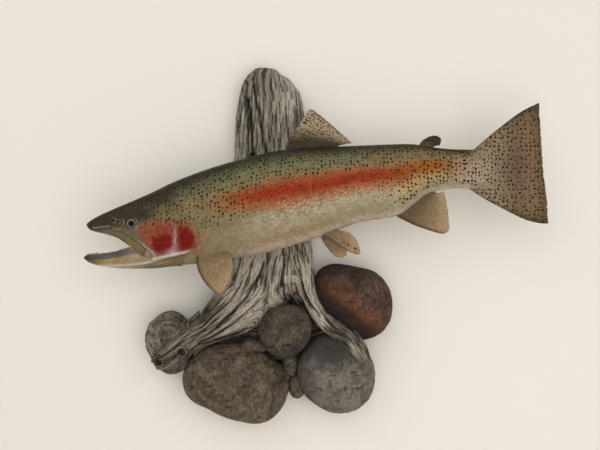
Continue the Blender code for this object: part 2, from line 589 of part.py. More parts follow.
def add_trunk():
    """The scaled body behind the gills, in four lengths."""
    front = [*gill_line(), (TRUNK_CUTS[0], BELOW), (TRUNK_CUTS[0], ABOVE), (GILL_EDGE[0][0], ABOVE)]
    flesh("trunk_front", region("trunk_front_region", front))
    names = ("trunk_middle", "trunk_rear", "tail_stem")
    for name, start, end in zip(names, TRUNK_CUTS, (*TRUNK_CUTS[1:], BODY_END + REACH)):
        block = [(start, BELOW), (end, BELOW), (end, ABOVE), (start, ABOVE)]
        flesh(name, region(name + "_region", block))


# ---- fins ---------------------------------------------------------------------------------------------
def fin_place(fin, s, t):
    """Side-view place on a fin: s from the leading to the trailing edge, t from the base to the margin."""
    base, margin = through(fin["base"], s), through(fin["margin"], s)
    lead, trail = through(fin["lead"], t), through(fin["trail"], t)
    ends = (("base", 0), ("base", -1), ("margin", 0), ("margin", -1))
    corners = [np.array(fin[edge][end], float) for edge, end in ends]
    flat = (1 - s) * (1 - t) * corners[0] + s * (1 - t) * corners[1]
    flat = flat + (1 - s) * t * corners[2] + s * t * corners[3]
    return (1 - t) * base + t * margin + (1 - s) * lead + s * trail - flat


def fin_row(fin, side, s, along):
    """Points from the base to the margin at share s, on the middle plane or leaving the body sideways."""
    root, tip = fin.get("out", (0, 0))
    row = []
    for j in range(along + 1):
        t = j / along
        x, z = fin_place(fin, s, t)
        out = root + (tip - root) * t**FIN_FLARE
        row.append(Vector((x, bend(x) + side * out, z)))
    return row


def add_fin(name, fin, side=0, across=7, along=5, thickness=FIN_THICKNESS):
    """A fin as a thin sheet that stops at the body."""
    bm = bmesh.new()
    add_grid(bm, [fin_row(fin, side, i / across, along) for i in range(across + 1)])
    made = made_object(name, finished(bm), TROUT, "fin")
    sheet = made.modifiers.new("thickness", "SOLIDIFY")
    sheet.thickness = thickness
    sheet.offset = 0
    boolean(made, BODY_ROOM, "DIFFERENCE")


def add_fins():
    add_fin("fin_dorsal", DORSAL)
    add_fin("fin_adipose", ADIPOSE, across=5, along=4, thickness=ADIPOSE_THICKNESS)
    add_fin("fin_anal", ANAL)
    add_fin("fin_tail", TAIL, across=10, along=6)
    add_fin("fin_pectoral_left", PECTORAL_LEFT, side=SIDES["left"])
    add_fin("fin_pectoral_right", PECTORAL_RIGHT, side=SIDES["right"])
    add_fin("fin_pelvic_left", PELVIC_LEFT, side=SIDES["left"], across=6, along=4)
    add_fin("fin_pelvic_right", PELVIC_RIGHT, side=SIDES["right"], across=6, along=4)


# ---- the mount ----------------------------------------------------------------------------------------
def limb_mesh(stations, grow, around=LIMB_SIDES):
    """A limb of driftwood: rounded sections square to its run in front view, closed at both ends."""
    last = len(stations) - 1
    rows = []
    for i, (x, z, half, depth, thick) in enumerate(stations):
        near, far = stations[max(i - 1, 0)], stations[min(i + 1, last)]
        ahead = Vector((far[0] - near[0], 0, far[1] - near[1])).normalized()
        across = Vector((-ahead.z, 0, ahead.x))
        cap = ahead * grow * ((i == last) - (i == 0))
        row = []
        for k in range(around):
            angle = 2 * math.pi * k / around
            wide = math.copysign(abs(math.cos(angle)) ** LIMB_SQUARENESS, math.cos(angle)) * (half + grow)
            deep = math.sin(angle) * (thick + grow)
            row.append(Vector((x, depth + deep, z)) + across * wide + cap)
        rows.append(row)
    bm = bmesh.new()
    corners = add_grid(bm, rows, closed=True)
    bmesh.ops.triangulate(bm, faces=bm.faces, quad_method="FIXED")
    bm.faces.new(corners[0])
    bm.faces.new(corners[-1])
    return finished(bm)


def wall_cutter(face):
    """A block that fills everything behind y = face."""
    bm = bmesh.new()
    bmesh.ops.create_cube(bm, size=WALL_BLOCK)
    return made_object(f"wall_{face:.4f}", bm, MOUNT, at=(0, face + WALL_BLOCK / 2, 0))


def add_driftwood():
    wood = made_object("driftwood", limb_mesh(LIMBS[0], 0), MOUNT, "wood")
    for i, stations in enumerate(LIMBS[1:]):
        boolean(wood, made_object(f"limb_{i}", limb_mesh(stations, 0), MOUNT), "UNION")
    boolean(wood, wall_cutter(0.0), "DIFFERENCE")


def outline_radius(radii, direction):
    """The radius in millimetres towards a direction, on a smooth closed line through the eight radii."""
    turn = (math.atan2(direction.z, direction.x) / (math.pi / 4)) % 8
    i, u = int(turn) % 8, turn - int(turn)
    a, b, c, d = (radii[(i + k) % 8] for k in (-1, 0, 1, 2))
    return 0.5 * (2 * b + (c - a) * u + (2 * a - 5 * b + 4 * c - d) * u**2 + (3 * b - a - 3 * c + d) * u**3)


def stone_mesh(radii, half_depth, seed, grow, columns, rings):
    """A river stone: its front outline passes through the eight radii, and low swells break its roundness."""
    bm = bmesh.new()
    bmesh.ops.create_uvsphere(bm, u_segments=columns, v_segments=rings, radius=1)
    bmesh.ops.triangulate(bm, faces=bm.faces, quad_method="FIXED")
    bmesh.ops.rotate(bm, verts=bm.verts, matrix=Matrix.Rotation(math.pi / 2, 3, "X"))
    for v in bm.verts:
        d = v.co.normalized()
        flat = max(math.hypot(d.x, d.z), 1e-9)
        swell = 1 + STONE_ROUGHNESS * noise.noise(d * STONE_SWELL + Vector((seed, 0, 0)))
        radius = outline_radius(radii, d) / 1000 * swell + grow
        deep = half_depth * swell + grow
        outwards = Vector((d.x, 0, d.z)) / flat * radius * flat**STONE_EDGE
        v.co = outwards + Vector((0, math.copysign(abs(d.y) ** STONE_FLATNESS, d.y) * deep, 0))
    bmesh.ops.recalc_face_normals(bm, faces=bm.faces)
    return bm


def add_stones():
    """The stones, each cut back where the driftwood or an earlier stone bears against it."""
    wall = wall_cutter(-WALL_CLEARANCE)
    rooms = [made_object(f"limb_room_{i}", limb_mesh(s, GAP), MOUNT) for i, s in enumerate(LIMBS)]
    for name, (centre, radii, depth, seed) in STONES.items():
        size = PEBBLE_FACETS if name.startswith("pebble") else ROCK_FACETS
        finish = STONE_FINISHES.get(name, "stone_grey")
        stone = made_object(name, stone_mesh(radii, depth, seed, 0, *size), MOUNT, finish, centre)
        for room in (*rooms, wall):
            boolean(stone, room, "DIFFERENCE")
        clear = stone_mesh(radii, depth, seed, GAP, *size)
        rooms.append(made_object(name + "_room", clear, MOUNT, at=centre))


def add_peg():
    """The short dowel that carries the trout in front of the driftwood."""
    bm = bmesh.new()
    bmesh.ops.create_cone(bm, cap_ends=True, segments=20, radius1=PEG["radius"], radius2=PEG["radius"],
                          depth=PEG["back"] - PEG["front"])
    peg = made_object("mount_peg", bm, MOUNT, "peg", (PEG["x"], (PEG["back"] + PEG["front"]) / 2, PEG["z"]))
    peg.rotation_euler.x = math.pi / 2
    boolean(peg, bpy.data.objects["limb_room_0"], "DIFFERENCE")
    boolean(peg, BODY_ROOM, "DIFFERENCE")


for old in list(bpy.data.objects):
    bpy.data.objects.remove(old)
PARTS = collection("mounted_trout")
CUTTERS = collection("cutters")
TROUT = empty("trout", SNOUT)
MOUNT = empty("mount", (0, 0, 0))
BODY_ROOM = made_object("body_room", body_mesh(BODY_ROWS, BODY_STEPS, GAP), TROUT)
add_head()
add_trunk()
add_fins()
add_driftwood()
add_stones()
add_peg()
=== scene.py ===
import math
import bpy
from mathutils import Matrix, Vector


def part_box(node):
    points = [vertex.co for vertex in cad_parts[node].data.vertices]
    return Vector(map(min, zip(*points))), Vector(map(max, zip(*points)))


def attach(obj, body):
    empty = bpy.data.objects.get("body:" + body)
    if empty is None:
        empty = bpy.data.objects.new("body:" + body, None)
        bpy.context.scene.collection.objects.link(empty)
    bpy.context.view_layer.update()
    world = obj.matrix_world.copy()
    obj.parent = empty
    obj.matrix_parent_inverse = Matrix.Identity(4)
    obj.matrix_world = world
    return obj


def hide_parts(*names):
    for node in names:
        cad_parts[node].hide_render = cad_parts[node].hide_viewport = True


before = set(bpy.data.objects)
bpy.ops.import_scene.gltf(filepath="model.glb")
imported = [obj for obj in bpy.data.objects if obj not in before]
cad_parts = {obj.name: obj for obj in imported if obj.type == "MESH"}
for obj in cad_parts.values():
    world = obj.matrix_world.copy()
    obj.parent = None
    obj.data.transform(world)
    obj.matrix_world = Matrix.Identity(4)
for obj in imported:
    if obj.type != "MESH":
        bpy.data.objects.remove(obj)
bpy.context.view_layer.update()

from types import SimpleNamespace

import bpy
import numpy as np
from bpy.props import FloatProperty, FloatVectorProperty, IntProperty, PointerProperty
from mathutils import Vector, noise

bl_info = {
    "name": "Mounted trout",
    "version": (1, 0, 0),
    "blender": (4, 5, 0),
    "location": "3D View > Sidebar > Trout",
    "description": "A mounted rainbow trout on driftwood and river stones",
    "category": "Object",
}

# ---- dimensions that the looks share with the solids, in metres -------------------------------------------
# The trout's own frame starts at the tip of its snout: x runs to the tail and z up.
SNOUT = np.array((-0.292, -0.115, -0.171))
BODY_END = 0.684
NOSE_ROUND = 0.012
NOSE_LEVEL = 0.001
CORNER_X = 0.088
JAW_TIP_X, JAW_TIP_Z = -0.0036, -0.0560
LIP = 0.0026
ROOF_RISE, FLOOR_DROP = 0.42, 0.55
THROAT_DEPTH = 0.034
EYE_X, EYE_Z = 0.0765, 0.0012
EYE_RADIUS, EYE_DEPTH = 0.0086, 0.0064
EYE_SUNK = 0.58  # share of the eye's half depth by which its middle lies inside the flank
HEAD_BEND, TAIL_BEND = -0.008, -0.018

BACK_LINE = [(0, 0.0032), (0.010, 0.0088), (0.028, 0.0181), (0.067, 0.0352), (0.105, 0.0519), (0.147, 0.0722),
             (0.243, 0.1048), (0.325, 0.1225), (0.447, 0.1296), (0.526, 0.1320), (0.577, 0.1251),
             (0.602, 0.1230), (0.628, 0.1225), (0.645, 0.1260), (0.660, 0.1285), (0.672, 0.1230),
             (0.680, 0.1130), (0.684, 0.1020)]
BELLY_LINE = [(-0.0036, -0.0600), (0.022, -0.0680), (0.060, -0.0724), (0.098, -0.0726), (0.150, -0.0677),
              (0.201, -0.0618), (0.285, -0.0482), (0.376, -0.0225), (0.447, 0.0031), (0.507, 0.0139),
              (0.564, 0.0525), (0.604, 0.0588), (0.628, 0.0575), (0.645, 0.0545), (0.660, 0.0550),
              (0.672, 0.0620), (0.680, 0.0720), (0.684, 0.0820)]
HALF_WIDTH = [(0, 0.0105), (0.030, 0.0158), (0.073, 0.0222), (0.120, 0.0312), (0.180, 0.0385),
              (0.300, 0.0425), (0.400, 0.0375), (0.480, 0.0285), (0.560, 0.0185), (0.620, 0.0112),
              (0.650, 0.0060),
              (0.672, 0.0022), (0.684, 0.0012)]
UPPER_LIP = [(0, -0.0062), (0.013, -0.0102), (0.038, -0.0161), (0.052, -0.0207), (0.065, -0.0285),
             (0.076, -0.0350), (0.088, -0.0380)]
LOWER_LIP = [(-0.0036, -0.0490), (0.009, -0.0495), (0.030, -0.0479), (0.047, -0.0450), (0.060, -0.0412),
             (0.074, -0.0378), (0.088, -0.0380)]
WIDEST_LINE = [(0.088, -0.0380), (0.140, -0.0120), (0.200, 0.0120), (0.300, 0.0350), (0.400, 0.0580),
               (0.500, 0.0750), (0.600, 0.0920), (0.684, 0.0915)]
UPPER_FULLNESS = [(0, 2.3), (0.080, 2.7), (0.200, 2.3), (0.684, 2.0)]
LOWER_FULLNESS = [(0, 2.0), (0.120, 2.2), (0.300, 2.3), (0.684, 2.0)]
GILL_EDGE = [(0.126, 0.100), (0.140, 0.050), (0.160, 0.022), (0.178, 0.004), (0.186, -0.016),
             (0.183, -0.032), (0.172, -0.044), (0.158, -0.060), (0.150, -0.090)]
MAXILLA = [(0.0500, -0.0125, 0.0022), (0.0640, -0.0200, 0.0046), (0.0790, -0.0305, 0.0058),
           (0.0920, -0.0405, 0.0066), (0.1020, -0.0480, 0.0056), (0.1065, -0.0512, 0.0026)]

FINS = {
    "fin_dorsal": {
        "base": [(0.318, 0.108), (0.360, 0.112), (0.405, 0.118)],
        "lead": [(0.318, 0.108), (0.335, 0.144), (0.357, 0.180), (0.3655, 0.1905)],
        "margin": [(0.3655, 0.1905), (0.374, 0.186), (0.402, 0.163), (0.4345, 0.1335)],
        "trail": [(0.405, 0.118), (0.412, 0.1290), (0.4345, 0.1335)], "rays": 13},
    "fin_adipose": {
        "base": [(0.541, 0.126), (0.553, 0.124), (0.565, 0.122)],
        "lead": [(0.541, 0.126), (0.549, 0.1370), (0.560, 0.1440)],
        "margin": [(0.560, 0.1440), (0.571, 0.1455), (0.5795, 0.1400), (0.578, 0.1300)],
        "trail": [(0.565, 0.122), (0.568, 0.1275), (0.578, 0.1300)], "rays": 0},
    "fin_anal": {
        "base": [(0.504, 0.022), (0.535, 0.042), (0.566, 0.060)],
        "lead": [(0.504, 0.015), (0.528, 0.0025), (0.550, -0.0064), (0.575, -0.0141), (0.585, -0.0154)],
        "margin": [(0.585, -0.0154), (0.5925, -0.0105), (0.593, 0.0050), (0.590, 0.0300), (0.584, 0.0541)],
        "trail": [(0.566, 0.060), (0.572, 0.0515), (0.584, 0.0541)], "rays": 12},
    "fin_tail": {
        "base": [(0.624, 0.115), (0.634, 0.090), (0.616, 0.064)],
        "lead": [(0.624, 0.115), (0.6473, 0.1350), (0.663, 0.1488), (0.7057, 0.1816), (0.7385, 0.1985)],
        "margin": [(0.7385, 0.1985), (0.7395, 0.1690), (0.7420, 0.1286), (0.7450, 0.0880), (0.7500, 0.0420),
                   (0.7530, 0.0015)],
        "trail": [(0.616, 0.064), (0.6473, 0.0436), (0.6687, 0.0314), (0.7109, 0.0095), (0.7374, 0.0020),
                  (0.7530, 0.0015)], "rays": 22},
    "fin_pectoral_left": {
        "base": [(0.181, -0.0460), (0.200, -0.0440), (0.231, -0.0440)],
        "lead": [(0.181, -0.0460), (0.184, -0.0720), (0.198, -0.0960), (0.217, -0.1120)],
        "margin": [(0.217, -0.1120), (0.225, -0.1080), (0.238, -0.0850), (0.241, -0.0600)],
        "trail": [(0.231, -0.0440), (0.238, -0.0500), (0.241, -0.0600)],
        "out": (0.0235, 0.0400), "side": -1, "rays": 13},
    "fin_pectoral_right": {
        "base": [(0.181, -0.0460), (0.196, -0.0440), (0.212, -0.0440)],
        "lead": [(0.181, -0.0460), (0.182, -0.0700), (0.190, -0.0900), (0.202, -0.1020)],
        "margin": [(0.202, -0.1020), (0.212, -0.0960), (0.218, -0.0780), (0.218, -0.0580)],
        "trail": [(0.212, -0.0440), (0.216, -0.0500), (0.218, -0.0580)],
        "out": (0.0235, 0.0300), "side": 1, "rays": 11},
    "fin_pelvic_left": {
        "base": [(0.384, -0.0150), (0.396, -0.0110), (0.404, -0.0060)],
        "lead": [(0.384, -0.0150), (0.404, -0.0280), (0.421, -0.0410), (0.440, -0.0490)],
        "margin": [(0.440, -0.0490), (0.4465, -0.0465), (0.441, -0.0260), (0.428, -0.0120)],
        "trail": [(0.404, -0.0060), (0.414, -0.0095), (0.428, -0.0120)],
        "out": (0.0120, 0.0230), "side": -1, "rays": 10},
    "fin_pelvic_right": {
        "base": [(0.380, -0.0150), (0.390, -0.0130), (0.398, -0.0080)],
        "lead": [(0.380, -0.0150), (0.389, -0.0320), (0.400, -0.0460), (0.409, -0.0540)],
        "margin": [(0.409, -0.0540), (0.420, -0.0560), (0.427, -0.0480), (0.421, -0.0320)],
        "trail": [(0.398, -0.0080), (0.410, -0.0180), (0.421, -0.0320)],
        "out": (0.0120, 0.0180), "side": 1, "rays": 10},
}

# Limbs of the driftwood: (x, z, half width, middle depth, half depth) along each, and its share of the grain.
LIMBS = {
    "trunk": [(0.004, 0.0995, 0.010, -0.024, 0.012), (0.001, 0.091, 0.027, -0.024, 0.021),
              (0.000, 0.080, 0.0375, -0.024, 0.026), (0.001, 0.062, 0.047, -0.024, 0.031),
              (0.004, 0.030, 0.0560, -0.023, 0.035), (0.005, -0.060, 0.0620, -0.023, 0.038),
              (0.0065, -0.150, 0.0645, -0.025, 0.038), (0.007, -0.205, 0.0675, -0.029, 0.038),
              (0.003, -0.250, 0.0735, -0.034, 0.038), (0.006, -0.285, 0.0680, -0.034, 0.034),
              (0.028, -0.308, 0.0420, -0.030, 0.026)],
    "root_left": [(0.000, -0.215, 0.050, -0.033, 0.036), (-0.018, -0.270, 0.052, -0.037, 0.037),
                  (-0.045, -0.308, 0.047, -0.041, 0.037), (-0.073, -0.330, 0.038, -0.047, 0.034),
                  (-0.100, -0.350, 0.0265, -0.052, 0.028), (-0.121, -0.3615, 0.0215, -0.058, 0.025),
                  (-0.140, -0.375, 0.0205, -0.064, 0.0225), (-0.161, -0.391, 0.0190, -0.071, 0.0190),
                  (-0.177, -0.401, 0.0155, -0.077, 0.0155), (-0.187, -0.406, 0.0090, -0.081, 0.0100)],
    "root_right": [(0.050, -0.205, 0.0240, -0.034, 0.036), (0.062, -0.255, 0.0160, -0.040, 0.034),
                   (0.070, -0.288, 0.0130, -0.047, 0.030), (0.084, -0.317, 0.0130, -0.053, 0.026),
                   (0.108, -0.343, 0.0130, -0.060, 0.022), (0.135, -0.360, 0.0145, -0.071, 0.018),
                   (0.149, -0.3755, 0.0140, -0.080, 0.015), (0.158, -0.388, 0.0125, -0.086, 0.012),
                   (0.164, -0.397, 0.0070, -0.090, 0.007)],
    # The web and the saddle fill the gaps behind the stones, and their fronts carry painted shade.
    "web": [(0.040, -0.270, 0.020, -0.020, 0.022), (0.070, -0.312, 0.022, -0.020, 0.024),
            (0.105, -0.335, 0.020, -0.019, 0.022), (0.128, -0.348, 0.009, -0.017, 0.012)],
    "saddle": [(-0.112, -0.366, 0.012, -0.030, 0.014), (-0.080, -0.366, 0.026, -0.022, 0.022),
               (-0.030, -0.368, 0.030, -0.018, 0.022), (0.020, -0.380, 0.034, -0.018, 0.022),
               (0.065, -0.376, 0.038, -0.018, 0.022), (0.100, -0.360, 0.026, -0.019, 0.022),
               (0.128, -0.352, 0.010, -0.018, 0.014)],
    "stub": [(-0.118, -0.358, 0.008, -0.056, 0.010), (-0.133, -0.345, 0.0070, -0.062, 0.008),
             (-0.125, -0.332, 0.0060, -0.066, 0.006), (-0.114, -0.319, 0.0030, -0.067, 0.003)],
}
GRAIN_SPAN = {"trunk": (-1, 1), "root_left": (-1, 0.45), "root_right": (0.45, 1), "web": (0.2, 0.8),
              "saddle": (-0.6, 0.6), "stub": (-0.2, 0.2)}
GRAIN_START = {"trunk": 0.0, "root_left": 0.31, "root_right": 0.30, "web": 0.37, "saddle": 0.5, "stub": 0.9}

# A stone: middle, radius each 45 degrees anticlockwise from +X in front view, half depth, roughness seed.
STONES = {
    "rock_round": ((0.031, -0.064, -0.3535), (45.5, 49, 45, 44.5, 46.5, 44, 45.5, 41.5), 0.040, 3),
    "rock_brown": ((-0.054, -0.052, -0.4465), (91, 74, 70, 84, 91, 61, 60.5, 83), 0.050, 11),
    "rock_grey": ((0.1205, -0.046, -0.432), (65, 66.5, 74, 76, 68, 62, 64, 67), 0.048, 23),
    "rock_red": ((0.150, -0.042, -0.307), (66.5, 65.5, 63, 83, 64, 50, 62, 69), 0.044, 31),
    "rock_left": ((-0.168, -0.040, -0.376), (40, 46, 54.5, 48.5, 42, 43, 54.5, 48), 0.040, 47),
    "pebble_upper": ((-0.020, -0.064, -0.379), (24, 14, 10, 17, 24, 16, 10, 14), 0.014, 5),
    "pebble_middle": ((0.040, -0.040, -0.412), (13, 16, 21, 18, 14, 19, 23, 17), 0.020, 7),
    "pebble_lower": ((0.051, -0.036, -0.455), (13.5, 17, 27, 20, 15, 15, 18.5, 16), 0.020, 9),
}
WALL_CLEARANCE = 0.001
PEG = {"x": 0.020, "z": -0.135, "radius": 0.017, "back": -0.050, "front": -0.090}


def paint(red, green, blue):
    """A colour given in everyday 0-255 steps, as the amounts of light that a finish takes."""
    return tuple(((c / 255 + 0.055) / 1.055) ** 2.4 for c in (red, green, blue))


# ---- what a user would change -----------------------------------------------------------------------------
def size(name, description, default):
    return FloatProperty(name=name, description=description, default=default, unit="LENGTH", precision=5)


def share(name, description, default, most=4.0):
    return FloatProperty(name=name, description=description, default=default, min=0.0, max=most)


def colour(name, description, *steps):
    return FloatVectorProperty(name=name, description=description, default=paint(*steps), subtype="COLOR",
                               min=0.0, max=1.0)


def setting_names(group):
    """The names of a group's own settings."""
    return [key for key in group.bl_rna.properties.keys() if key not in ("rna_type", "name")]


def chosen(group):
    """A group's settings as plain values, with its colours as arrays."""
    values = {key: getattr(group, key) for key in setting_names(group)}
    return SimpleNamespace(**{key: value if isinstance(value, (int, float)) else np.array(value)
                              for key, value in values.items()})


class TroutSizes(bpy.types.PropertyGroup):
    """Sizes of the trout's skin, scales and fins"""
    coat_depth: size("Coat depth", "How far the skin lies inside the scaled surface", 0.0007)
    scale_lift: size("Scale lift", "How far a scale's rear edge stands over the skin", 0.00065)
    scale_rows: IntProperty(name="Scale rows", description="Rows of scales from back to belly", default=108,
                            min=20, max=160)
    spot_spacing: size("Spot spacing", "Distance between neighbouring spots", 0.0066)
    spot_radius: size("Spot radius", "Radius of the largest spots", 0.0019)
    tooth_height: size("Tooth height", "Height of the teeth", 0.0030)
    fin_root: size("Fin root thickness", "Half thickness of a fin at its base", 0.0011)
    fin_edge: size("Fin edge thickness", "Half thickness of a fin at its margin", 0.00022)
    ray_height: size("Ray height", "How far the rays of a fin stand out", 0.00032)


class TroutColours(bpy.types.PropertyGroup):
    """Colours of the trout"""
    ridge: colour("Ridge", "Along the top of the back", 54, 50, 38)
    back: colour("Back", "Olive of the back", 111, 111, 82)
    shoulder: colour("Shoulder", "Between the back and the band", 128, 114, 84)
    band: colour("Band", "Red band along the flank", 142, 42, 14)
    band_rear: colour("Rear of the band", "Golden end of the band", 142, 82, 24)
    under_band: colour("Under the band", "Orange edge of the band", 150, 96, 58)
    flank: colour("Flank", "Silvery flank", 150, 138, 113)
    low_gold: colour("Gold under the band", "Yellow under the rear of the band", 166, 130, 56)
    belly: colour("Belly", "Pale belly", 184, 168, 148)
    spot: colour("Spots", "Spots on back, tail and fins", 40, 25, 8)
    head_top: colour("Top of the head", "Dark olive of the snout and brow", 60, 52, 41)
    head_side: colour("Side of the head", "Olive round the eye", 108, 98, 76)
    cheek: colour("Cheek", "Orange-pink of the cheek", 150, 75, 53)
    cheek_deep: colour("Deep cheek", "Darkest red of the cheek and the gill cover", 116, 20, 18)
    stripe: colour("Cheek stripe", "Lilac stripe between cheek and gill cover", 186, 150, 166)
    white: colour("Jaw white", "White line along the jaw", 212, 204, 192)
    jaw_blue: colour("Lip of the lower jaw", "Blue-grey lip", 92, 92, 94)
    jaw_gold: colour("Lower jaw", "Golden side of the lower jaw", 158, 136, 94)
    maxilla: colour("Upper jaw bone", "Olive plate of the upper jaw", 122, 104, 70)
    mouth: colour("Mouth", "Inside of the mouth", 120, 104, 98)
    tongue: colour("Tongue", "Tongue", 176, 132, 118)
    tooth: colour("Teeth", "Teeth", 104, 88, 78)
    iris: colour("Iris", "Silver ring of the eye", 150, 144, 130)
    fin: colour("Fins", "Skin of the fins", 174, 148, 114)
    fin_dark: colour("Fin rays", "Dark lines between the rays", 54, 41, 28)
    tail: colour("Tail fin", "Skin of the tail fin", 130, 107, 78)


class MountLooks(bpy.types.PropertyGroup):
    """Finish of the driftwood and the stones"""
    grain_depth: size("Grain depth", "Depth of the driftwood's grain", 0.0022)
    wood_pale: colour("Pale wood", "Weathered ridges of the driftwood", 186, 179, 163)
    wood_mid: colour("Grey wood", "Body of the driftwood", 120, 112, 98)
    wood_dark: colour("Dark wood", "Grooves and cracks of the driftwood", 34, 28, 22)
    stone_grey: colour("Grey stone", "Grey-brown stones", 92, 83, 71)
    stone_brown: colour("Brown stone", "Brown stones", 96, 83, 68)
    stone_ochre: colour("Ochre stone", "Second tone of the brown stone", 112, 96, 74)
    stone_light: colour("Light stone", "Bluish grey stone", 136, 128, 118)
    stone_red: colour("Red stone", "Reddish stone", 84, 58, 46)
    rust: colour("Rust patch", "Warm patch on the red stone", 130, 76, 48)
    peg: colour("Dowel", "Dowel between driftwood and trout", 150, 118, 84)


class StageLooks(bpy.types.PropertyGroup):
    """Wall, lights and camera"""
    wall: colour("Wall", "Plain wall and floor", 236, 231, 222)
    key: share("Key light", "Power of the large soft light, in watts", 25.0, 500)
    fill: share("Fill light", "Power of the second soft light, in watts", 10.0, 500)
    back: share("Back light", "Power of the light behind the wall, in watts", 10.0, 500)
    ambient: share("Ambient light", "Strength of the light from all round", 0.52)
    distance: size("Camera distance", "Distance from the wall to the camera", 1.485)


# ---- curves -----------------------------------------------------------------------------------------------
def steady(knots):
    """A smooth curve through (x, value) knots that never overshoots them."""
    x, v = (np.array(column, float) for column in zip(*knots))
    step, rise = np.diff(x), np.diff(v) / np.diff(x)
    slope = np.concatenate([rise[:1], np.zeros(len(x) - 2), rise[-1:]])
    for i in range(1, len(x) - 1):
        if rise[i - 1] * rise[i] > 0:
            before, after = 2 * step[i] + step[i - 1], step[i] + 2 * step[i - 1]
            slope[i] = (before + after) / (before / rise[i - 1] + after / rise[i])

    def value(at):
        at = np.clip(np.asarray(at, float), x[0], x[-1])
        i = np.minimum(np.searchsorted(x, at, side="right") - 1, len(step) - 1)
        t = (at - x[i]) / step[i]
        start, end = (1 + 2 * t) * (1 - t) ** 2 * v[i], t * t * (3 - 2 * t) * v[i + 1]
        return start + end + step[i] * (t * (1 - t) ** 2 * slope[i] - t * t * (1 - t) * slope[i + 1])

    return value


def through(points, t):
    """Places at shares t of a smooth open curve through the points."""
    p = np.array(points, float)
    p = np.vstack([2 * p[0] - p[1], p, 2 * p[-1] - p[-2]])
    lengths = np.concatenate([[0], np.cumsum(np.linalg.norm(np.diff(p[1:-1], axis=0), axis=1))])
    at = np.atleast_1d(t) * lengths[-1]
    i = np.minimum(np.searchsorted(lengths, at, side="right") - 1, len(p) - 4)
    u = ((at - lengths[i]) / (lengths[i + 1] - lengths[i]))[:, None]
    a, b, c, d = p[i], p[i + 1], p[i + 2], p[i + 3]
    return 0.5 * (2 * b + (c - a) * u + (2 * a - 5 * b + 4 * c - d) * u**2 + (3 * b - a - 3 * c + d) * u**3)


def ribbon(stations, steps):
    """Stations along a smooth path in side view, and the direction across the path at each."""
    path = through(stations, np.linspace(0, 1, steps))
    run = np.gradient(path[:, :2], axis=0)
    run /= np.linalg.norm(run, axis=1, keepdims=True)
    return path, np.stack([-run[:, 1], run[:, 0]], -1)


def smooth(low, high, value):
    """0 below low, 1 above high, and a soft rise between them."""
    t = np.clip((value - low) / (high - low), 0, 1)
    return t * t * (3 - 2 * t)


def bell(offset, width=1.0):
    """1 at no offset, falling away softly over the width."""
    return np.exp(-((offset / width) ** 2))


def to_line(x, z, line, steps=40):
    """(distance, side, share along) from places to a smooth line: the side is +1 at its left hand."""
    path = through(line, np.linspace(0, 1, steps + 1))
    start, run = path[:-1], np.diff(path, axis=0)
    place = np.stack([x, z], -1)[..., None, :]
    along = np.clip(((place - start) * run).sum(-1) / (run**2).sum(-1), 0, 1)
    off = place - (start + along[..., None] * run)
    distance = np.linalg.norm(off, axis=-1)
    nearest = distance.argmin(-1)

    def pick(values):
        return np.take_along_axis(values, nearest[..., None], -1)[..., 0]

    side = np.sign(pick(run[:, 0] * off[..., 1] - run[:, 1] * off[..., 0]))
    return pick(distance), side, (nearest + pick(along)) / steps


def beside(x, z, line, width):
    """1 on a line, falling away over the width."""
    return bell(to_line(x, z, line)[0], width)


def inside(x, z, outline, softness):
    """1 inside a smooth closed outline, 0 outside it."""
    loop = [*outline, outline[0]]
    distance, _, _ = to_line(x, z, loop, steps=60)
    path = through(loop, np.linspace(0, 1, 61))
    crossings = np.zeros(np.shape(x), int)
    for (x0, z0), (x1, z1) in zip(path[:-1], path[1:]):
        spans = (z0 > z) != (z1 > z)
        if z1 != z0:
            crossings += spans & (x < (x1 - x0) * (z - z0) / (z1 - z0) + x0)
    return smooth(-softness, softness, np.where(crossings % 2 == 1, distance, -distance))


def oval(x, z, middle, radii):
    """Distance from a middle place in units of the radii."""
    return np.hypot((x - middle[0]) / radii[0], (z - middle[1]) / radii[1])


def rough(points, across, seed, octaves=1):
    """Smooth seeded heights from -1 to 1, with features about `across` metres wide."""
    points = np.asarray(points, float) / across
    total, weight = np.zeros(points.shape[:-1]), 0
    for octave in range(octaves):
        table = np.random.default_rng(seed + octave).uniform(-1, 1, (32, 32, 32))
        cell = np.floor(points).astype(int)
        f = points - cell
        f = f * f * (3 - 2 * f)
        value = 0
        for i in (0, 1):
            for j in (0, 1):
                for k in (0, 1):
                    corner = table[(cell[..., 0] + i) % 32, (cell[..., 1] + j) % 32, (cell[..., 2] + k) % 32]
                    value = value + corner * (np.abs(1 - i - f[..., 0]) * np.abs(1 - j - f[..., 1])
                                              * np.abs(1 - k - f[..., 2]))
        total = total + value * 0.5**octave
        weight += 0.5**octave
        points = points * 2.03 + 7.1
    return total / weight


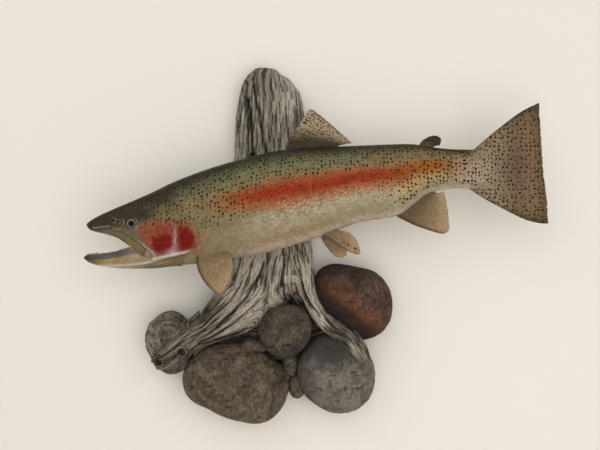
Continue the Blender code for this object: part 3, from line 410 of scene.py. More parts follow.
# ---- meshes -----------------------------------------------------------------------------------------------
def make_piece(name, points, faces, maps=None, values=None, colours=None, finish=None, sharp=None):
    """A mesh object with its maps, values and colours at each point."""
    points = np.asarray(points, float).reshape(-1, 3)
    if not np.isfinite(points).all():
        raise ValueError(f"{name} has points that are not numbers")
    mesh = bpy.data.meshes.new(name)
    mesh.from_pydata(points.tolist(), [], faces)
    corners = np.empty(len(mesh.loops), int)
    mesh.loops.foreach_get("vertex_index", corners)
    for key, places in (maps or {}).items():
        layer = mesh.uv_layers.new(name=key)
        places = np.asarray(places, np.float32).reshape(-1, 2)
        per_corner = places[corners] if len(places) == len(mesh.vertices) else places
        layer.data.foreach_set("uv", per_corner.ravel())
    for key, amounts in (values or {}).items():
        layer = mesh.attributes.new(key, "FLOAT", "POINT")
        layer.data.foreach_set("value", np.asarray(amounts, np.float32).ravel())
    for key, tones in (colours or {}).items():
        layer = mesh.color_attributes.new(key, "FLOAT_COLOR", "POINT")
        tones = np.reshape(tones, (-1, 3))
        opaque = np.concatenate([np.clip(tones, 0, 1), np.ones((len(tones), 1))], 1)
        layer.data.foreach_set("color", opaque.astype(np.float32).ravel())
    mesh.shade_smooth()
    if sharp:
        mesh.set_sharp_from_angle(angle=math.radians(sharp))
    if finish:
        mesh.materials.append(finish)
    made = bpy.data.objects.new(name, mesh)
    bpy.context.scene.collection.objects.link(made)
    return made


def grid_faces(rows, columns, start=0, closed=False, turned=False):
    """Quads between the rows of a grid whose points are numbered row by row."""
    j = np.arange(columns if closed else columns - 1)
    i = np.arange(rows - 1)[:, None]
    near = start + i * columns
    a, b = near + j, near + (j + 1) % columns
    quads = np.stack([a, b, b + columns, a + columns], -1).reshape(-1, 4)
    return (quads[:, ::-1] if turned else quads).tolist()


def across_normals(points):
    """Unit normals of a grid of points."""
    normal = np.cross(np.gradient(points, axis=0), np.gradient(points, axis=1))
    return normal / np.maximum(np.linalg.norm(normal, axis=-1, keepdims=True), 1e-12)


def placed(piece, slot, *nodes):
    """Puts a finished piece on the model, in the stead of its nodes."""
    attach(piece, "root")
    if nodes:
        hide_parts(*nodes)


# ---- finishes ---------------------------------------------------------------------------------------------
class Finish:
    """A procedural material, with short ways to build its node tree."""

    def __init__(self, name, roughness=0.5, **settings):
        self.material = bpy.data.materials.new(name)
        self.material.use_nodes = True
        self.tree = self.material.node_tree
        self.shader = self.tree.nodes["Principled BSDF"]
        self.shader.inputs["Roughness"].default_value = roughness
        for key, value in settings.items():
            self.shader.inputs[key.replace("_", " ").title().replace("Ior", "IOR")].default_value = value

    def node(self, kind, inputs=None, **settings):
        made = self.tree.nodes.new(kind)
        for key, value in settings.items():
            setattr(made, key, value)
        for key, value in (inputs or {}).items():
            self.feed(made, key, value)
        return made

    def feed(self, made, key, value):
        """Links a socket to a node's input, or sets the input to a plain value."""
        if isinstance(value, bpy.types.NodeSocket):
            self.tree.links.new(value, made.inputs[key])
        else:
            made.inputs[key].default_value = value

    def sums(self, operation, a, b=0.0, c=0.0):
        """The output of a node that works with numbers."""
        return self.node("ShaderNodeMath", {0: a, 1: b, 2: c}, operation=operation).outputs[0]

    def times(self, a, b):
        return self.sums("MULTIPLY", a, b)

    def plus(self, a, b):
        return self.sums("ADD", a, b)

    def mixed(self, amount, a, b, blend="MIX"):
        made = self.node("ShaderNodeMix", {0: amount}, data_type="RGBA", blend_type=blend)
        for key, value in ((6, a), (7, b)):
            self.feed(made, key, value if isinstance(value, bpy.types.NodeSocket) else (*value[:3], 1))
        return made.outputs[2]

    def ramp(self, value, *stops):
        made = self.node("ShaderNodeValToRGB", {0: value})
        steps = made.color_ramp.elements
        while len(steps) < len(stops):
            steps.new(0.5)
        for step, (at, tone) in zip(steps, stops):
            step.position = at
            step.color = (*tone[:3], 1)
        return made.outputs[0]

    def between(self, value, low, high, to_low=0.0, to_high=1.0):
        made = self.node("ShaderNodeMapRange", {0: value, 1: low, 2: high, 3: to_low, 4: to_high},
                         interpolation_type="SMOOTHSTEP")
        return made.outputs[0]

    def noise(self, vector, scale, detail=3.0, roughness=0.55, distortion=0.0):
        made = self.node("ShaderNodeTexNoise", {"Vector": vector, "Scale": scale, "Detail": detail,
                                                "Roughness": roughness, "Distortion": distortion})
        return made.outputs["Fac"]

    def stretched(self, vector, x, y, z):
        return self.node("ShaderNodeVectorMath", {0: vector, 1: (x, y, z)}, operation="MULTIPLY").outputs[0]

    def uv(self, name):
        return self.node("ShaderNodeUVMap", uv_map=name).outputs[0]

    def value(self, name):
        return self.node("ShaderNodeAttribute", attribute_name=name).outputs["Fac"]

    def tone(self, name):
        return self.node("ShaderNodeAttribute", attribute_name=name).outputs["Color"]

    def metres(self):
        return self.node("ShaderNodeTexCoord").outputs["Object"]

    def bump(self, height, strength, distance):
        made = self.node("ShaderNodeBump", {"Height": height, "Strength": strength, "Distance": distance})
        self.tree.links.new(made.outputs[0], self.shader.inputs["Normal"])

    def set(self, **sockets):
        for key, value in sockets.items():
            self.tree.links.new(value, self.shader.inputs[key.replace("_", " ").title()])
        return self.material


VARNISH_TINT = (1.0, 0.84, 0.60, 1.0)


def spot_layer(finish, place, density, spacing, radius):
    """How much of a spot lies at each place: round-edged cells, of which the density keeps a share."""
    cells = finish.node("ShaderNodeTexVoronoi", {"Vector": place, "Scale": 1 / spacing, "Randomness": 0.62},
                        voronoi_dimensions="2D")
    chance = finish.node("ShaderNodeSeparateColor", {0: cells.outputs["Color"]})
    room = finish.between(finish.sums("SUBTRACT", density, chance.outputs[0]), 0.0, 0.12)
    largest = finish.between(chance.outputs[1], 0.0, 1.0, 0.66 * radius / spacing, 1.14 * radius / spacing)
    reach = finish.times(finish.times(room, largest), finish.between(density, 0.35, 0.70, 0.72, 1.0))
    return finish.between(finish.sums("SUBTRACT", reach, cells.outputs["Distance"]), -0.03, 0.06)


def spotted(finish, base, spacing, radius, spot, place=None):
    """Adds irregular dark spots over a base colour: the value "Spots" says how dense they are.

    Towards the tail a second layer of smaller spots lies between the first ones."""
    metres = finish.uv("BodyMap")
    wavy = finish.node("ShaderNodeTexNoise", {"Vector": place or metres, "Scale": 420.0, "Detail": 1.0})
    shifted = finish.node("ShaderNodeVectorMath",
                          {0: wavy.outputs["Color"], 1: (0.0008, 0.0008, 0), 2: place or metres},
                          operation="MULTIPLY_ADD").outputs[0]
    density = finish.value("Spots")
    ahead = finish.node("ShaderNodeSeparateXYZ", {0: metres}).outputs[0]
    rear = finish.times(density, finish.between(ahead, 0.44, 0.58, 0.0, 0.75))
    rear = finish.times(rear, finish.between(ahead, 0.660, 0.700, 1.0, 0.0))
    large = spot_layer(finish, shifted, density, spacing, radius)
    small = spot_layer(finish, finish.stretched(shifted, 1.0, -1.0, 1.0), rear, 0.80 * spacing, 0.66 * radius)
    return finish.mixed(finish.sums("MAXIMUM", large, small), base, spot)


def skin_finish(name, spacing, radius, spot, roughness=0.38, coat=0.03):
    """Painted and varnished trout skin."""
    finish = Finish(name, roughness, coat_weight=coat, coat_roughness=0.09,
                    specular_ior_level=0.09, specular_tint=VARNISH_TINT)
    place = finish.uv("BodyMap")
    broad = finish.noise(place, 60.0, 4.0)
    fine = finish.noise(place, 520.0, 2.0)
    base = finish.mixed(finish.between(broad, 0.30, 0.72, 0.0, 0.30), finish.tone("Lay"), (0.30, 0.27, 0.20),
                        "MULTIPLY")
    base = finish.mixed(finish.between(fine, 0.35, 0.75, 0.0, 0.22), base, (0.42, 0.38, 0.30), "MULTIPLY")
    base = spotted(finish, base, spacing, radius, spot)
    finish.bump(fine, 0.25, 0.0006)
    gloss = finish.between(broad, 0.3, 0.7, roughness - 0.06, roughness + 0.10)
    return finish.set(Base_Color=base, Roughness=gloss)


# ---- the trout's body -------------------------------------------------------------------------------------
back_line, belly_line, half_width = steady(BACK_LINE), steady(BELLY_LINE), steady(HALF_WIDTH)
upper_lip, lower_lip, widest_line = steady(UPPER_LIP), steady(LOWER_LIP), steady(WIDEST_LINE)
upper_fullness, lower_fullness = steady(UPPER_FULLNESS), steady(LOWER_FULLNESS)


def bend(x):
    """Sideways place of the trout's middle plane."""
    head = np.maximum(0.0, 1 - x / 0.22) ** 2
    tail = np.maximum(0.0, (x - 0.40) / 0.36) ** 2
    return HEAD_BEND * head + TAIL_BEND * tail


def section(x):
    """(top, upper lip, lower lip, bottom, upper width, lower width, lower x) of the body at distances x."""
    front = x < CORNER_X
    jaw_x = np.where(front, CORNER_X + (x - CORNER_X) * (1 - JAW_TIP_X / CORNER_X), x)
    closing = np.where(front, np.sqrt(np.maximum(0.0, 1 - (1 - np.minimum(x / NOSE_ROUND, 1)) ** 2)), 1.0)
    top = NOSE_LEVEL + (back_line(x) - NOSE_LEVEL) * closing
    upper = np.where(front, NOSE_LEVEL + (upper_lip(x) - NOSE_LEVEL) * closing, widest_line(x))
    lower = np.where(front, JAW_TIP_Z + (lower_lip(jaw_x) - JAW_TIP_Z) * closing, widest_line(x))
    bottom = np.where(front, JAW_TIP_Z + (belly_line(jaw_x) - JAW_TIP_Z) * closing, belly_line(x))
    width = half_width(x) * closing
    narrow = np.where(front, 0.90 + 0.10 * (x / CORNER_X) ** 2, 1.0)
    return top, upper, lower, bottom, width, width * narrow, jaw_x


def quarter(x, t, side, lower):
    """(points, outward directions) of a quarter of the body: t runs from the midline to the widest level."""
    top, lip_up, lip_low, bottom, w_up, w_low, jaw_x = section(x)
    if lower:
        edge, middle, width, full, at = bottom, lip_low, w_low, lower_fullness(x), jaw_x
    else:
        edge, middle, width, full, at = top, lip_up, w_up, upper_fullness(x), x
    power = (2 / full)[:, None]
    out, rise = np.sin(t * math.pi / 2) ** power, np.cos(t * math.pi / 2) ** power
    height = (edge - middle)[:, None]
    y = bend(at)[:, None] + side * width[:, None] * out
    z = middle[:, None] + height * rise
    points = SNOUT + np.stack([at[:, None] + 0 * y, y, z], -1)
    steep = full[:, None] - 1
    ny = side * out**steep / np.maximum(width, 1e-5)[:, None]
    nz = np.sign(height) * rise**steep / np.maximum(np.abs(height), 1e-5)
    change = np.gradient(points, axis=0)
    nx = -(ny * change[..., 1] + nz * change[..., 2]) / np.maximum(change[..., 0], 1e-7)
    normal = np.stack([nx, ny, nz], -1)
    tip = (width <= 0)[:, None, None]  # at the tips of snout and jaw a section has no size
    normal = np.where(tip, (-1.0, 0.0, 0.0), normal)
    return points, normal / np.linalg.norm(normal, axis=-1, keepdims=True)


def half_width_at(x, z):
    """How far the flank stands from the middle plane at side-view places."""
    top, upper, lower, bottom, w_up, w_low, _ = section(x)

    def bulge(share_out, full):
        return np.maximum(0, 1 - np.clip(share_out, 0, 1) ** full) ** (1 / full)

    above = w_up * bulge((z - upper) / (top - upper), upper_fullness(x))
    below = w_low * bulge((lower - z) / (lower - bottom), lower_fullness(x))
    return np.where(z >= upper, above, np.where(z <= lower, below, (w_up + w_low) / 2))


def bake_place(x, round_share, side):
    """Unwrap of the skin's own shape: length along it, and share of the way from back to belly."""
    return np.stack([0.02 + 0.86 * x / BODY_END, 0.5 + side * (0.008 + 0.47 * round_share)], -1)


# ---- the bones and folds of the head ----------------------------------------------------------------------
JAW_SEAM = [(0.030, -0.0690), (0.060, -0.0690), (0.096, -0.0660), (0.125, -0.0590), (0.150, -0.0515),
            (0.172, -0.0440)]
LIP_SEAM = [(-0.004, -0.0585), (0.030, -0.0570), (0.055, -0.0535), (0.080, -0.0490), (0.098, -0.0550)]
PREOPERCLE = [(0.1470, 0.0060), (0.1490, -0.0130), (0.1480, -0.0300), (0.1440, -0.0470)]
BROW = [(0.060, 0.0110), (0.076, 0.0130), (0.094, 0.0080)]
CHEEK_SEAM = [(0.062, -0.0110), (0.074, -0.0160), (0.090, -0.0130), (0.102, -0.0020)]
NOSE_SEAM = [(0.0130, -0.0060), (0.0260, -0.0042), (0.0400, -0.0028)]
# Two short pale lines in front of the eye: painted highlights, with no relief beneath.
PAINTED_HIGHLIGHT_LOW = [(0.0460, -0.0055), (0.0530, -0.0074), (0.0600, -0.0066)]
PAINTED_HIGHLIGHT_HIGH = [(0.0625, 0.0080), (0.0640, 0.0040), (0.0632, -0.0003)]
# Swellings of the gill cover, the cheek and the chin's hook: (middle, radii, height).
SWELLINGS = [((0.163, -0.015), (0.017, 0.024), 0.0012), ((0.118, -0.021), (0.024, 0.020), 0.0009),
             ((0.001, -0.0540), (0.006, 0.005), 0.0012)]
# Ridges, and seams with a height below 0: (line, width, height).
FOLDS = [(PREOPERCLE, 0.0022, -0.0009), (BROW, 0.0045, 0.0005), (CHEEK_SEAM, 0.0013, -0.0006),
         (NOSE_SEAM, 0.0009, -0.0007), (LIP_SEAM, 0.0012, -0.0009)]
# Nostrils: (middle, radius).
NOSTRILS = [((0.0468, 0.0062), 0.0023), ((0.0545, 0.0048), 0.0020)]


def gill_flap(x, z):
    """(distance behind the gill cover's rear edge, 1 where that edge is a free flap)."""
    distance, hand, _ = to_line(x, z, GILL_EDGE)
    return distance * hand, smooth(0.040, 0.018, z)


def head_relief(x, z):
    """How far the skin stands out over the plain form of the head, in metres."""
    h = np.zeros_like(x)
    behind, flap = gill_flap(x, z)
    h += flap * 0.0011 * bell(behind + 0.0045, 0.006) * (behind < 0.0006)
    h -= flap * 0.0016 * smooth(-0.0004, 0.0012, behind) * bell(behind, 0.007)
    for middle, radii, height in SWELLINGS:
        h += height * bell(oval(x, z, middle, radii))
    for line, width, height in FOLDS:
        h += height * beside(x, z, line, width)
    eye = np.hypot(x - EYE_X, z - EYE_Z)
    h += 0.0010 * bell(eye - 0.0087, 0.0014)
    h -= 0.0030 * (1 - smooth(0.0056, 0.0074, eye))
    for middle, radius in NOSTRILS:
        away = oval(x, z, middle, (radius * 1.25, radius))
        h += 0.0005 * bell(away - 1.25, 0.35) - 0.0017 * (1 - smooth(0.4, 1.0, away))
    seam, hand, along = to_line(x, z, JAW_SEAM)
    h -= 0.0011 * bell(seam, 0.0014) * smooth(0.0, 0.15, along)
    folds = smooth(0.0, 0.003, -seam * hand) * smooth(0.080, 0.100, x) * smooth(0.178, 0.166, x) * (z < -0.03)
    h += 0.0005 * folds * np.cos(2 * math.pi * seam / 0.0042) * smooth(-0.0700, -0.0630, z)
    return h


def skin_offset(x, z, depth):
    """How far the skin stands off the solids: bare over the head, a coat's depth inside behind it."""
    behind, _ = gill_flap(x, z)
    return head_relief(x, z) - depth * smooth(-0.001, 0.003, behind)


# ---- markings ---------------------------------------------------------------------------------------------
def tinted(tone, amount, new):
    """A tone moved towards a new one by an amount from 0 to 1."""
    return tone + np.clip(amount, 0, 1)[..., None] * (np.asarray(new) - tone)


def ladder(share_down, *steps):
    """A tone that passes through (share, colour) steps."""
    at = [s for s, _ in steps]
    return np.stack([np.interp(share_down, at, [c[k] for _, c in steps]) for k in range(3)], -1)


def trunk_tone(paints, x, down):
    """Back, band, flank and belly: `down` is 0 on the back line and 1 on the belly line."""
    tone = ladder(down, (0, paints.ridge), (0.04, paints.ridge), (0.16, paints.back), (0.30, paints.shoulder),
                  (0.55, paints.shoulder), (0.70, paints.flank), (0.88, paints.flank), (0.97, paints.belly),
                  (1.0, 0.65 * paints.belly + 0.35 * paints.stripe))
    tone = tinted(tone, 0.75 * smooth(0.260, 0.150, x) * smooth(0.34, 0.08, down), paints.ridge)
    tone = tinted(tone, 0.75 * smooth(0.30, 0.20, x) * smooth(0.45, 0.60, down), paints.shoulder)
    spread = 0.55 + 0.45 * smooth(0.20, 0.34, x)
    from_middle = (down - 0.40 - 0.03 * smooth(0.20, 0.35, x)) / spread
    reach = smooth(0.180, 0.250, x) * smooth(0.668, 0.590, x)
    edges = smooth(-0.20, -0.08, from_middle) * smooth(0.24, 0.12, from_middle)
    tone = tinted(tone, reach * edges, paints.under_band)
    core = smooth(-0.15, -0.01, from_middle) * smooth(0.15, 0.02, from_middle)
    rear = smooth(0.46, 0.56, x)
    red = tinted(paints.band, rear, paints.band_rear)
    tone = tinted(tone, reach * smooth(0.20, 0.29, x) * core, red)
    low_gold = smooth(0.47, 0.53, x) * smooth(0.64, 0.58, x) * bell(down - 0.64, 0.11)
    tone = tinted(tone, 0.7 * low_gold, paints.low_gold)
    blush = smooth(0.24, 0.30, x) * smooth(0.44, 0.36, x) * bell(down - 0.88, 0.06)
    tone = tinted(tone, 0.25 * blush, paints.under_band)
    tone = tinted(tone, 0.20 * smooth(0.40, 0.50, x) * bell(down - 0.16, 0.14), paints.under_band)
    stem = smooth(0.560, 0.640, x)
    pale_stem = 0.3 * paints.flank + 0.7 * paints.belly
    tone = tinted(tone, 0.66 * stem * smooth(0.10, 0.40, down), pale_stem)
    rims = np.maximum(smooth(0.34, 0.14, down), smooth(0.72, 0.92, down))
    fading = smooth(0.616, 0.646, x) * rims
    tone = tinted(tone, np.maximum(smooth(0.640, 0.674, x), fading), tail_root(paints))
    return tinted(tone, 0.50 * smooth(0.655, 0.684, x), paints.tail)


def tail_root(paints):
    """The tone in which the trunk and the tail fin meet."""
    return 0.65 * paints.flank + 0.35 * paints.tail


def trunk_spots(x, down):
    """How dense the spots are, from 0 to 1."""
    rear = smooth(0.44, 0.54, x)
    front = smooth(0.33, 0.22, x)
    dense = 0.88 * smooth(0.38, 0.26, down)
    dense = np.maximum(dense, front * 0.80 * smooth(0.72, 0.52, down))
    dense = np.maximum(dense, 0.34 * smooth(0.66, 0.50, down))
    dense = np.maximum(dense, rear * 0.86 * smooth(1.02, 0.82, down))
    return np.maximum(dense, 0.07 * smooth(0.84, 0.70, down))


CHEEK = [(0.088, -0.006), (0.102, 0.002), (0.122, 0.004), (0.144, 0.005), (0.160, 0.004), (0.174, -0.005),
         (0.182, -0.020), (0.180, -0.034), (0.166, -0.042), (0.142, -0.048), (0.122, -0.0490),
         (0.113, -0.044),
         (0.102, -0.030), (0.092, -0.018)]
JAW_WHITE = [(0.1120, -0.0562), (0.128, -0.0525), (0.150, -0.0478), (0.176, -0.0420)]
HEAD_REACH = 0.215  # the head's colours end before this far behind the snout
CHIN_WHITE = [(0.018, -0.0690), (0.045, -0.0680), (0.075, -0.0670), (0.104, -0.0625), (0.140, -0.0585)]


def head_tone(paints, x, z, down):
    """The head's own colours, in front of the gill opening."""
    tone = np.broadcast_to(paints.head_top, (*x.shape, 3))
    tone = tinted(tone, smooth(0.075, 0.185, x) * smooth(0.14, 0.42, down), paints.back)
    tone = tinted(tone, smooth(0.008, -0.012, z - 0.18 * (x - 0.07)), paints.head_side)
    tone = tinted(tone, 0.8 * smooth(0.095, 0.140, x) * smooth(0.036, 0.010, z), paints.shoulder)
    tone = tinted(tone, 0.6 * smooth(0.075, 0.02, x) * smooth(-0.012, 0.0, z), paints.head_top)
    blotch = rough(np.stack([x, z, 0 * x], -1), 0.0060, 71, 4)
    streaks = rough(np.stack([x * 0.35 + z * 0.2, z, 0 * x], -1), 0.0022, 73, 3)
    flush = np.clip(inside(x, z, CHEEK, 0.0100) * (0.95 + 0.35 * blotch), 0, 1)
    tone = tinted(tone, 0.95 * flush, paints.cheek)
    front = bell(oval(x, z, (0.1275, -0.0300), (0.0185, 0.0185)))
    rear = bell(oval(x, z, (0.1650, -0.0235), (0.0165, 0.0220)))
    deep = np.maximum(front, rear) + 0.20 * smooth(0.096, 0.122, x) + 0.42 * blotch + 0.22 * streaks
    tone = tinted(tone, smooth(0.08, 0.98, deep) * inside(x, z, CHEEK, 0.0065), paints.cheek_deep)
    tone = tinted(tone, 0.30 * flush * smooth(0.15, 0.75, -blotch), paints.under_band)
    width = 0.0023 + 0.0024 * smooth(-0.020, -0.044, z)
    stripe = beside(x + 0.0005 * np.sin(z * 420), z, PREOPERCLE, width) * smooth(0.004, -0.010, z)
    tone = tinted(tone, (0.60 + 0.35 * blotch) * stripe, paints.stripe)
    wash = bell(oval(x, z, (0.1430, -0.0460), (0.0120, 0.0050)))
    tone = tinted(tone, 0.55 * wash, paints.stripe)
    off_bone, _, along = to_line(x, z, [(px, pz) for px, pz, _ in MAXILLA])
    edge = off_bone - 0.0062
    pale = 0.5 * (paints.stripe + paints.white)
    return tinted(tone, 0.56 * bell(edge - 0.0018, 0.0017) * smooth(0.40, 0.70, along), pale)


def jaw_tone(paints, x, z, tone):
    """Lower jaw, gill folds and throat."""
    below = smooth(-0.0400, -0.0440, z) * smooth(0.115, 0.100, x)
    tone = tinted(tone, below, paints.jaw_gold)
    tone = tinted(tone, 0.7 * below * smooth(0.030, 0.010, x), paints.head_side)
    distance, hand, _ = to_line(x, z, LIP_SEAM)
    lip = below * smooth(-0.0004, 0.0010, distance * hand) * smooth(0.100, 0.088, x)
    tone = tinted(tone, lip, paints.jaw_blue)
    tone = tinted(tone, 0.9 * bell(oval(x, z, (-0.001, -0.0550), (0.016, 0.009))), paints.head_top)
    tone = tinted(tone, 0.45 * lip * smooth(-0.0510, -0.0470, z), paints.head_top)
    seam, hand, _ = to_line(x, z, JAW_SEAM)
    under = smooth(0.0, 0.0015, -seam * hand) * (z < -0.035) * smooth(0.030, 0.050, x)
    folded = tinted(paints.head_side, 0.45, paints.jaw_gold)
    tone = tinted(tone, under * smooth(0.185, 0.172, x), folded)
    inner_lip = bell(oval(x, z, (0.0830, -0.0500), (0.0160, 0.0060)))
    tone = tinted(tone, 0.65 * inner_lip, 0.34 * (paints.stripe + paints.white + paints.jaw_blue))
    tone = tinted(tone, 0.9 * beside(x, z, JAW_WHITE, 0.0022), paints.white)
    tone = tinted(tone, 0.95 * beside(x, z, CHIN_WHITE, 0.0030) * smooth(0.145, 0.090, x), paints.white)
    dark = 0.7 * bell(seam, 0.0013) * smooth(0.04, 0.07, x) * smooth(0.180, 0.168, x)
    tone = tinted(tone, dark, paints.jaw_blue)
    lines = (0.5 - 0.5 * np.cos(2 * math.pi * seam / 0.0036)) ** 2
    fold_share = smooth(0.085, 0.110, x) * smooth(0.180, 0.168, x)
    return tinted(tone, 0.75 * under * lines * fold_share, paints.head_top)


def marks_and_painted_highlights(paints, x, z, tone):
    """Painted highlights: on the rear of the eye's rim, partly its own pale rim, on the rear of the nostrils'
    rims, along the nose crease and two short lines in front of the eye, and along the gill cover's pale rear
    edge. Also a dark ring round the eye, painted shade in the nostrils' holes, and a cheek-red flush behind
    the gill cover's edge.
    """
    eye = np.hypot(x - EYE_X, z - EYE_Z)
    # a painted highlight on the rear of the eye's rim, partly the rim's own pale colour
    rim = bell(eye - 0.0103, 0.0007) * smooth(0.002, 0.008, x - EYE_X)
    tone = tinted(tone, 0.34 * rim, paints.white)
    tone = tinted(tone, 0.80 * bell(eye - 0.0080, 0.0014), paints.head_top)
    for middle, radius in NOSTRILS:
        away = oval(x, z, middle, (radius * 1.25, radius))
        rear = smooth(-1.6, 0.6, (x - middle[0]) / radius)
        # a painted highlight on the rear of each nostril's rim, and painted shade in its hole
        tone = tinted(tone, 0.22 * bell(away - 1.50, 0.30) * rear, paints.white)
        tone = tinted(tone, 0.8 * (1 - smooth(0.5, 1.0, away)), paints.spot)
    # painted highlights along the nose crease and two short lines in front of the eye
    painted_highlight_lines = ((NOSE_SEAM, 0.0006, 0.50), (PAINTED_HIGHLIGHT_LOW, 0.0007, 0.32), (PAINTED_HIGHLIGHT_HIGH, 0.0007, 0.30))
    for line, width, amount in painted_highlight_lines:
        tone = tinted(tone, amount * beside(x, z, line, width), paints.white)
    behind, flap = gill_flap(x, z)
    # a painted highlight along the gill cover's rear edge
    edge = flap * bell(behind + 0.0012, 0.0013) * (z > -0.045) * smooth(0.016, 0.006, z)
    tone = tinted(tone, 0.50 * edge, paints.under_band)
    flush = flap * bell(behind - 0.006, 0.006) * (z > -0.05) * smooth(-0.008, -0.016, z)
    return tinted(tone, 0.40 * flush, paints.cheek)


def lay(paints, x, z, down):
    """(colours, spot densities) of skin and scales at side-view places."""
    tone, spots = trunk_tone(paints, x, down), trunk_spots(x, down)
    near = x < HEAD_REACH
    if not near.any():
        return tone, spots
    hx, hz, hd = x[near], z[near], down[near]
    behind, flap = gill_flap(hx, hz)
    share_head = np.maximum(smooth(0.0006, -0.0006, behind) * flap,
                            smooth(0.012, -0.012, behind) * (1 - flap))
    head = head_tone(paints, hx, hz, hd)
    head = jaw_tone(paints, hx, hz, head)
    tone[near] = marks_and_painted_highlights(paints, hx, hz, tinted(tone[near], share_head, head))
    brow_spots = 0.60 * smooth(0.070, 0.110, hx) * smooth(-0.008, 0.008, hz)
    cheek_spots = 0.36 * smooth(-0.040, -0.022, hz) * smooth(0.066, 0.080, hx)
    sparse = brow_spots + cheek_spots
    spots[near] = spots[near] + share_head * (np.clip(sparse, 0, 1) - spots[near])
    return tone, spots


# ---- skin -------------------------------------------------------------------------------------------------
WELD = 2e-5  # points nearer than about this become one


class Shell:
    """Patches of points that are welded into one mesh."""

    def __init__(self):
        self.points, self.place, self.bake, self.tone, self.spots, self.faces = [], [], [], [], [], []
        self.count = 0

    def add(self, points, faces, place, bake, tone, spots):
        points = points.reshape(-1, 3)
        self.points.append(points)
        self.place.append(np.reshape(place, (-1, 2)))
        self.bake.append(np.reshape(bake, (-1, 2)))
        self.tone.append(np.broadcast_to(tone, (len(points), 3)))
        self.spots.append(np.broadcast_to(spots, (len(points),)))
        self.faces += [[self.count + i for i in face] for face in faces]
        self.count += len(points)

    def make(self, name, finish):
        points = np.concatenate(self.points)
        cells = np.round(points / WELD).astype(np.int64)
        _, first, same = np.unique(cells, axis=0, return_index=True, return_inverse=True)
        same = same.ravel()
        faces, source = [], []
        for face in self.faces:
            kept = [i for k, i in enumerate(face) if same[i] != same[face[k - 1]]]
            if len(kept) > 2 and len({same[i] for i in kept}) == len(kept):
                faces.append([int(same[i]) for i in kept])
                source += kept
        place, bake = np.concatenate(self.place), np.concatenate(self.bake)
        return make_piece(name, points[first], faces, maps={"BodyMap": place[source], "OFBake": bake[source]},
                          values={"Spots": np.concatenate(self.spots)[first]},
                          colours={"Lay": np.concatenate(self.tone)[first]}, finish=finish)


def body_rows():
    nose = NOSE_ROUND * (1 - np.cos(np.linspace(0, math.pi / 2, 15)))
    jaws = np.linspace(NOSE_ROUND, CORNER_X, 86)
    head = np.linspace(CORNER_X, 0.198, 124)
    trunk = np.linspace(0.198, 0.640, 150)
    stem = np.linspace(0.640, BODY_END, 24)
    return np.concatenate([nose, jaws[1:], head[1:], trunk[1:], stem[1:]])


def add_flank(shell, paints, depth, side, rows, t):
    """One side of the body's outside; gives back the edges that the mouth's lining joins."""
    edges, upper_length = [], None
    for lower in (False, True):
        points, normal = quarter(rows, t, side, lower)
        x, z = points[..., 0] - SNOUT[0], points[..., 2] - SNOUT[2]
        moved = points + normal * skin_offset(x, z, depth)[..., None]
        steps = np.linalg.norm(np.diff(points, axis=1), axis=-1)
        run = np.concatenate([np.zeros((len(rows), 1)), np.cumsum(steps, 1)], 1)
        if lower:
            round_length = upper_length[:, None] + run[:, -1:] - run
            whole = upper_length[:, None] + run[:, -1:]
        else:
            upper_length, round_length = run[:, -1], run
            below, _ = quarter(rows, t, side, True)
            whole = run[:, -1:] + np.linalg.norm(np.diff(below, axis=1), axis=-1).sum(1, keepdims=True)
        top, _, _, bottom, _, _, _ = section(rows)
        down = np.clip((top[:, None] - z) / np.maximum(top - bottom, 1e-6)[:, None], 0, 1)
        tone, spots = lay(paints, x.ravel(), z.ravel(), down.ravel())
        turned = (side > 0) != lower
        shell.add(moved, grid_faces(len(rows), len(t), turned=turned),
                  np.stack([x, -side * round_length], -1),
                  bake_place(x, round_length / np.maximum(whole, 1e-6), side), tone, spots)
        edges.append(moved[:, -1])
    return edges


def lining_row(x, lip, height, width, columns):
    """Rows across the mouth from the left lip to the right one: a flat lip each side, then the vault."""
    turn = math.pi * (np.arange(columns) - 1) / (columns - 3)
    inner = np.maximum(width - np.minimum(LIP, width / 2), 0)[:, None]
    y = -inner * np.cos(turn)
    rise = 0.06 + 0.94 * np.maximum(0.0, np.sin(turn)) ** 0.8
    points = np.stack([x[:, None] + 0 * y, bend(x)[:, None] + y, lip[:, None] + height[:, None] * rise], -1)
    return SNOUT + points


def add_mouth(shell, paints, left, right, rows):
    """The lining of the open mouth, from lip to lip and back to the throat."""
    mouth = rows[rows <= CORNER_X]
    n, columns = len(mouth), 41
    top, lip_up, lip_low, bottom, w_up, w_low, jaw_x = section(mouth)
    roof = lining_row(mouth, lip_up, (top - lip_up) * ROOF_RISE, w_up, columns)
    floor = lining_row(jaw_x, lip_low, (bottom - lip_low) * FLOOR_DROP, w_low, columns)
    for rows_of, (near, far) in ((roof, (left[0], right[0])), (floor, (left[1], right[1]))):
        rows_of[:, 0], rows_of[:, -1] = near[:n], far[:n]
    ring = np.concatenate([roof[-1], floor[-1][1:-1][::-1]])
    middle = ring.mean(0)
    rings = [ring]
    for deep in (0.2, 0.4, 0.6, 0.8, 0.93, 1.0):
        drop = np.array((deep * THROAT_DEPTH, 0, 0.006 * deep))
        rings.append(middle + drop + (ring - middle) * math.sqrt(max(0.0, 1 - deep**2)) * 0.92)
    throat = np.stack(rings)
    patches = ((roof, False, False, 0.22), (floor, True, False, -0.22), (throat, False, True, 0.0))
    for patch, turned, closed, unwrap_level in patches:
        x = patch[..., 0] - SNOUT[0]
        y = patch[..., 1] - SNOUT[1]
        # painted shade: the lining darkens to near black deep towards the throat
        tone = tinted(paints.mouth, 0.6 * smooth(0.05, 0.12, x), (0.02, 0.015, 0.014))
        place = np.stack([x, y], -1)
        bake = np.stack([0.90 + 0.09 * np.clip(x / 0.125, 0, 1), 0.5 + 8 * y + unwrap_level], -1)
        shell.add(patch, grid_faces(len(patch), patch.shape[1], closed=closed, turned=turned), place, bake,
                  tone.reshape(-1, 3), 0.0)


